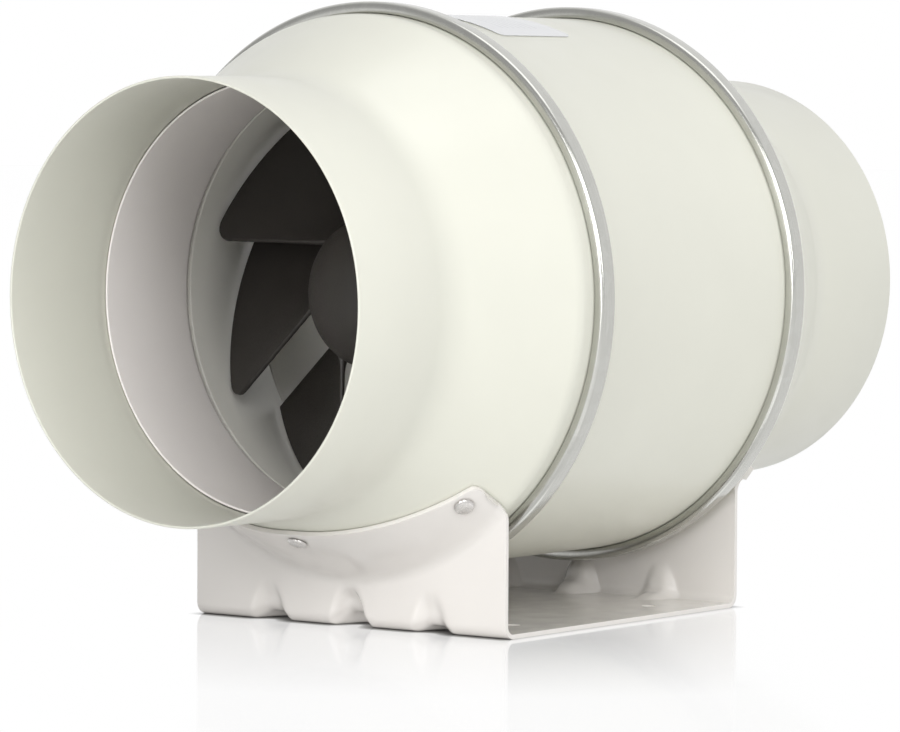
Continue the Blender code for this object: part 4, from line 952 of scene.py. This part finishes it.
def add_lid_screw(number):
    """A pan-head screw with a cross recess."""
    node = f"lid_screw_{number}"
    low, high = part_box(node)
    centre = (low + high) / 2
    face = low.x + 0.0022
    radius, shank = (high.z - low.z) / 2, 0.0016
    head = rounded([(low.x, 0.0), (low.x, radius * 0.8), (face, radius), (face, shank)],
                   [0.0009, 0.0003], 6)
    body = [Vector((high.x, shank)), Vector((high.x, 0.0))]
    turn = Matrix.Translation((0, centre.y, centre.z)) @ Matrix.Rotation(-math.pi / 2, 4, "Z")
    screw = add(node + "_head", put(spun(head + body), turn), node, at_axis=False)
    slots = [box((low.x - 0.001, centre.y - a, centre.z - b),
                 (low.x + 0.0012, centre.y + a, centre.z + b))
             for a, b in ((0.0019, 0.0004), (0.0004, 0.0019))]
    combine(screw, "DIFFERENCE", *slots, at_axis=False)


def gland_place():
    """The gland's axis, as x and y."""
    low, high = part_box("gland_nut")
    return (low.x + high.x) / 2, (low.y + high.y) / 2


def add_gland(x, y):
    """Cable gland: hexagon flange, fluted dome nut and the rubber seal inside."""
    wall = -(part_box("terminal_box")[0].z - AXIS.z)
    inner = wall - BOX_WALL
    bore, thread, grip, outer = 0.0045, 0.0087, 0.0088, 0.0118
    flange_end, waist, end, seat = (wall + step for step in (0.006, 0.018, 0.0225, 0.0175))
    down = Matrix.Translation((x, y, 0)) @ Matrix.Rotation(-math.pi / 2, 4, "X")
    barrel = turned(block_outline([(inner, bore), (inner, thread), (wall + 0.015, 0.0085),
                                   (wall + 0.015, bore)], 0.0003), FINE)
    flange = hexagon(wall + GAP, flange_end, 0.0125, bore=0.0080, bevel=0.0005)
    add("gland_flange", put(merged(barrel, flange), down), "gland_body", sharp=28)

    section = rounded([(flange_end + GAP, grip), (flange_end + GAP, outer), (waist, outer),
                       (end, grip), (end, 0.0050), (seat, 0.0050)],
                      [0.0005, 0.003, 0.0008, 0.0004], 5)
    nut = turned([*section, Vector((seat, grip))], FINE)
    for vert in nut.verts:
        r = math.hypot(vert.co.x, vert.co.z)
        if r > 0.0100:
            angle = math.atan2(vert.co.z, vert.co.x)
            flute = 1 - 0.035 * (0.5 + 0.5 * math.cos(12 * angle))
            vert.co.x, vert.co.z = vert.co.x * flute, vert.co.z * flute
    add("gland_dome", put(nut, down), "gland_nut", sharp=40)
    seal = block_outline([(wall + 0.0152, 0.0040), (wall + 0.0152, 0.0085),
                          (wall + 0.0172, 0.0085), (wall + 0.0172, 0.0040)], 0.0004)
    add("gland_rubber", put(turned(seal, FINE), down), "gland_seal")


# ---------------- label
def add_label():
    """The blank rating label, bent round the top of the centre casing."""
    low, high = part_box("rating_label")
    radius, film, corner = BODY_RADIUS + 0.0002, 0.00025, 0.003
    first = math.acos(min(1.0, high.x / radius))
    last = math.acos(low.x / radius)
    columns, rows = 40, 12
    outside, inside = [], []
    for i in range(columns + 1):
        angle = first + (last - first) * i / columns
        around = min(i, columns - i) / columns * (last - first) * radius
        missing = corner - math.sqrt(corner ** 2 - max(0.0, corner - around) ** 2)
        start, end = low.y + missing, high.y - missing
        for line, r in ((outside, radius + film), (inside, radius)):
            line.append([Vector((r * math.cos(angle), start + (end - start) * j / rows,
                                 r * math.sin(angle))) for j in range(rows + 1)])
    add("blank_label", slab(outside, inside), "rating_label")


add_casing()
add_clamp("front", -1)
add_clamp("rear", 1)
add_liners()
add_stator()
add_impeller()
add_foot()
add_terminal_box()
add_label()

# ---------------- camera
FOCAL, SENSOR = 198.66, 36.0
AZIMUTH, ELEVATION, DISTANCE = math.radians(36.699), math.radians(2.907), 2.3164
TARGET = Vector((0.0, -0.0297, 0.1268))
ROLL = math.radians(0.297)


def add_camera():
    """The camera at the fan's front right, a little above the axis of the duct."""
    data = bpy.data.cameras.new("camera")
    data.lens, data.sensor_width = FOCAL, SENSOR
    data.shift_x, data.shift_y = 0.01866, -0.02389
    data.clip_start, data.clip_end = 0.05, 60.0
    camera = new_object("camera", data)
    back = Vector((math.sin(AZIMUTH) * math.cos(ELEVATION),
                   -math.cos(AZIMUTH) * math.cos(ELEVATION), math.sin(ELEVATION)))
    camera.location = TARGET + back * DISTANCE
    camera.rotation_mode = "QUATERNION"
    aim = (-back).to_track_quat("-Z", "Y")
    camera.rotation_quaternion = aim @ Matrix.Rotation(ROLL, 3, "Z").to_quaternion()
    bpy.context.scene.camera = camera


add_camera()


# ---------------- floor and light
FLOOR_RADIUS = 14.0
MIRROR_ROUGHNESS = 0.08
MIRROR_SHARE, MIRROR_REACH = (0.45, 0.06), (0.13, 0.34)
CONTACT_REACH, CONTACT_POWER = 0.006, 2.5
AMBIENT, AMBIENT_SPREAD = (0.08, 0.70), (-0.6, 0.6)
FRONT_SHINE, SHINE_SPREAD = 0.5, (-0.5, 0.2)
LAMPS = (("key", (2.1, -2.2, 1.5), 1.2, 26.0, 0.7), ("front", (0.4, -2.7, 0.6), 1.0, 22.0, 0.7),
         ("top", (0.5, 0.2, 2.6), 1.8, 11.0, 0.0), ("side", (2.8, -1.6, 0.9), 0.8, 10.0, 0.5))
LAMP_AIM = Vector((0.0, 0.0, 0.15))


def add_floor():
    """A plain white floor, lit like the paper behind a product, with a soft reflection."""
    bm = bmesh.new()
    bmesh.ops.create_circle(bm, cap_ends=True, segments=MIDDLE, radius=FLOOR_RADIUS)
    mesh = mesh_of("floor", bm)
    material, tree, shader, place = new_material("floor", (0.9, 0.9, 0.9), 0.9)
    feed(tree, shader, {"Specular IOR Level": 0.0})
    contact = add_node(tree, "AmbientOcclusion", {"Distance": CONTACT_REACH}).outputs["AO"]
    shadow = computed(tree, "POWER", contact, CONTACT_POWER)
    glow = add_node(tree, "Emission", {"Color": shadow}).outputs["Emission"]
    mirror = add_node(tree, "BsdfGlossy", {"Color": (1.0, 1.0, 1.0),
                                           "Roughness": MIRROR_ROUGHNESS}).outputs["BSDF"]
    far = add_node(tree, "VectorMath", {0: place}, operation="LENGTH").outputs["Value"]
    share = ranged(tree, far, *MIRROR_SHARE, *MIRROR_REACH)
    seen = add_node(tree, "MixShader", {"Fac": share, 1: glow, 2: mirror}).outputs["Shader"]
    ray = add_node(tree, "LightPath", {}).outputs
    straight = computed(tree, "MAXIMUM", ray["Is Camera Ray"], ray["Is Glossy Ray"])
    surface = add_node(tree, "MixShader", {"Fac": straight, 1: shader.outputs["BSDF"], 2: seen})
    feed(tree, tree.nodes["Material Output"], {"Surface": surface.outputs["Shader"]})
    mesh.materials.append(material)
    new_object("floor", mesh)


def add_area(name, place, size, power, shine):
    """A soft square light that faces the fan; shine scales its highlights."""
    data = bpy.data.lights.new(name, "AREA")
    data.shape, data.size, data.energy, data.specular_factor = "SQUARE", size, power, shine
    lamp = new_object(name, data)
    lamp.location = place
    lamp.rotation_mode = "QUATERNION"
    lamp.rotation_quaternion = (LAMP_AIM - Vector(place)).to_track_quat("-Z", "Y")


def add_light():
    """White surroundings, dimmer as a light than to the eye, and four soft lamps."""
    world = bpy.data.worlds.new("studio")
    world.use_nodes = True
    tree = world.node_tree
    ray = add_node(tree, "LightPath", {}).outputs
    place = add_node(tree, "TexCoord", {}).outputs["Generated"]
    parts = add_node(tree, "SeparateXYZ", {"Vector": place}).outputs
    ambient = ranged(tree, parts["X"], *AMBIENT, *AMBIENT_SPREAD)
    mirrored_sky = ranged(tree, parts["Y"], FRONT_SHINE, 1.0, *SHINE_SPREAD)
    unseen = ranged(tree, ray["Is Glossy Ray"], ambient, mirrored_sky, 0.0, 1.0)
    strength = ranged(tree, ray["Is Camera Ray"], unseen, 1.0, 0.0, 1.0)
    feed(tree, tree.nodes["Background"], {"Color": (1.0, 1.0, 1.0), "Strength": strength})
    bpy.context.scene.world = world
    for lamp in LAMPS:
        add_area(*lamp)
    bpy.context.scene.view_settings.view_transform = "Standard"


add_floor()
add_light()
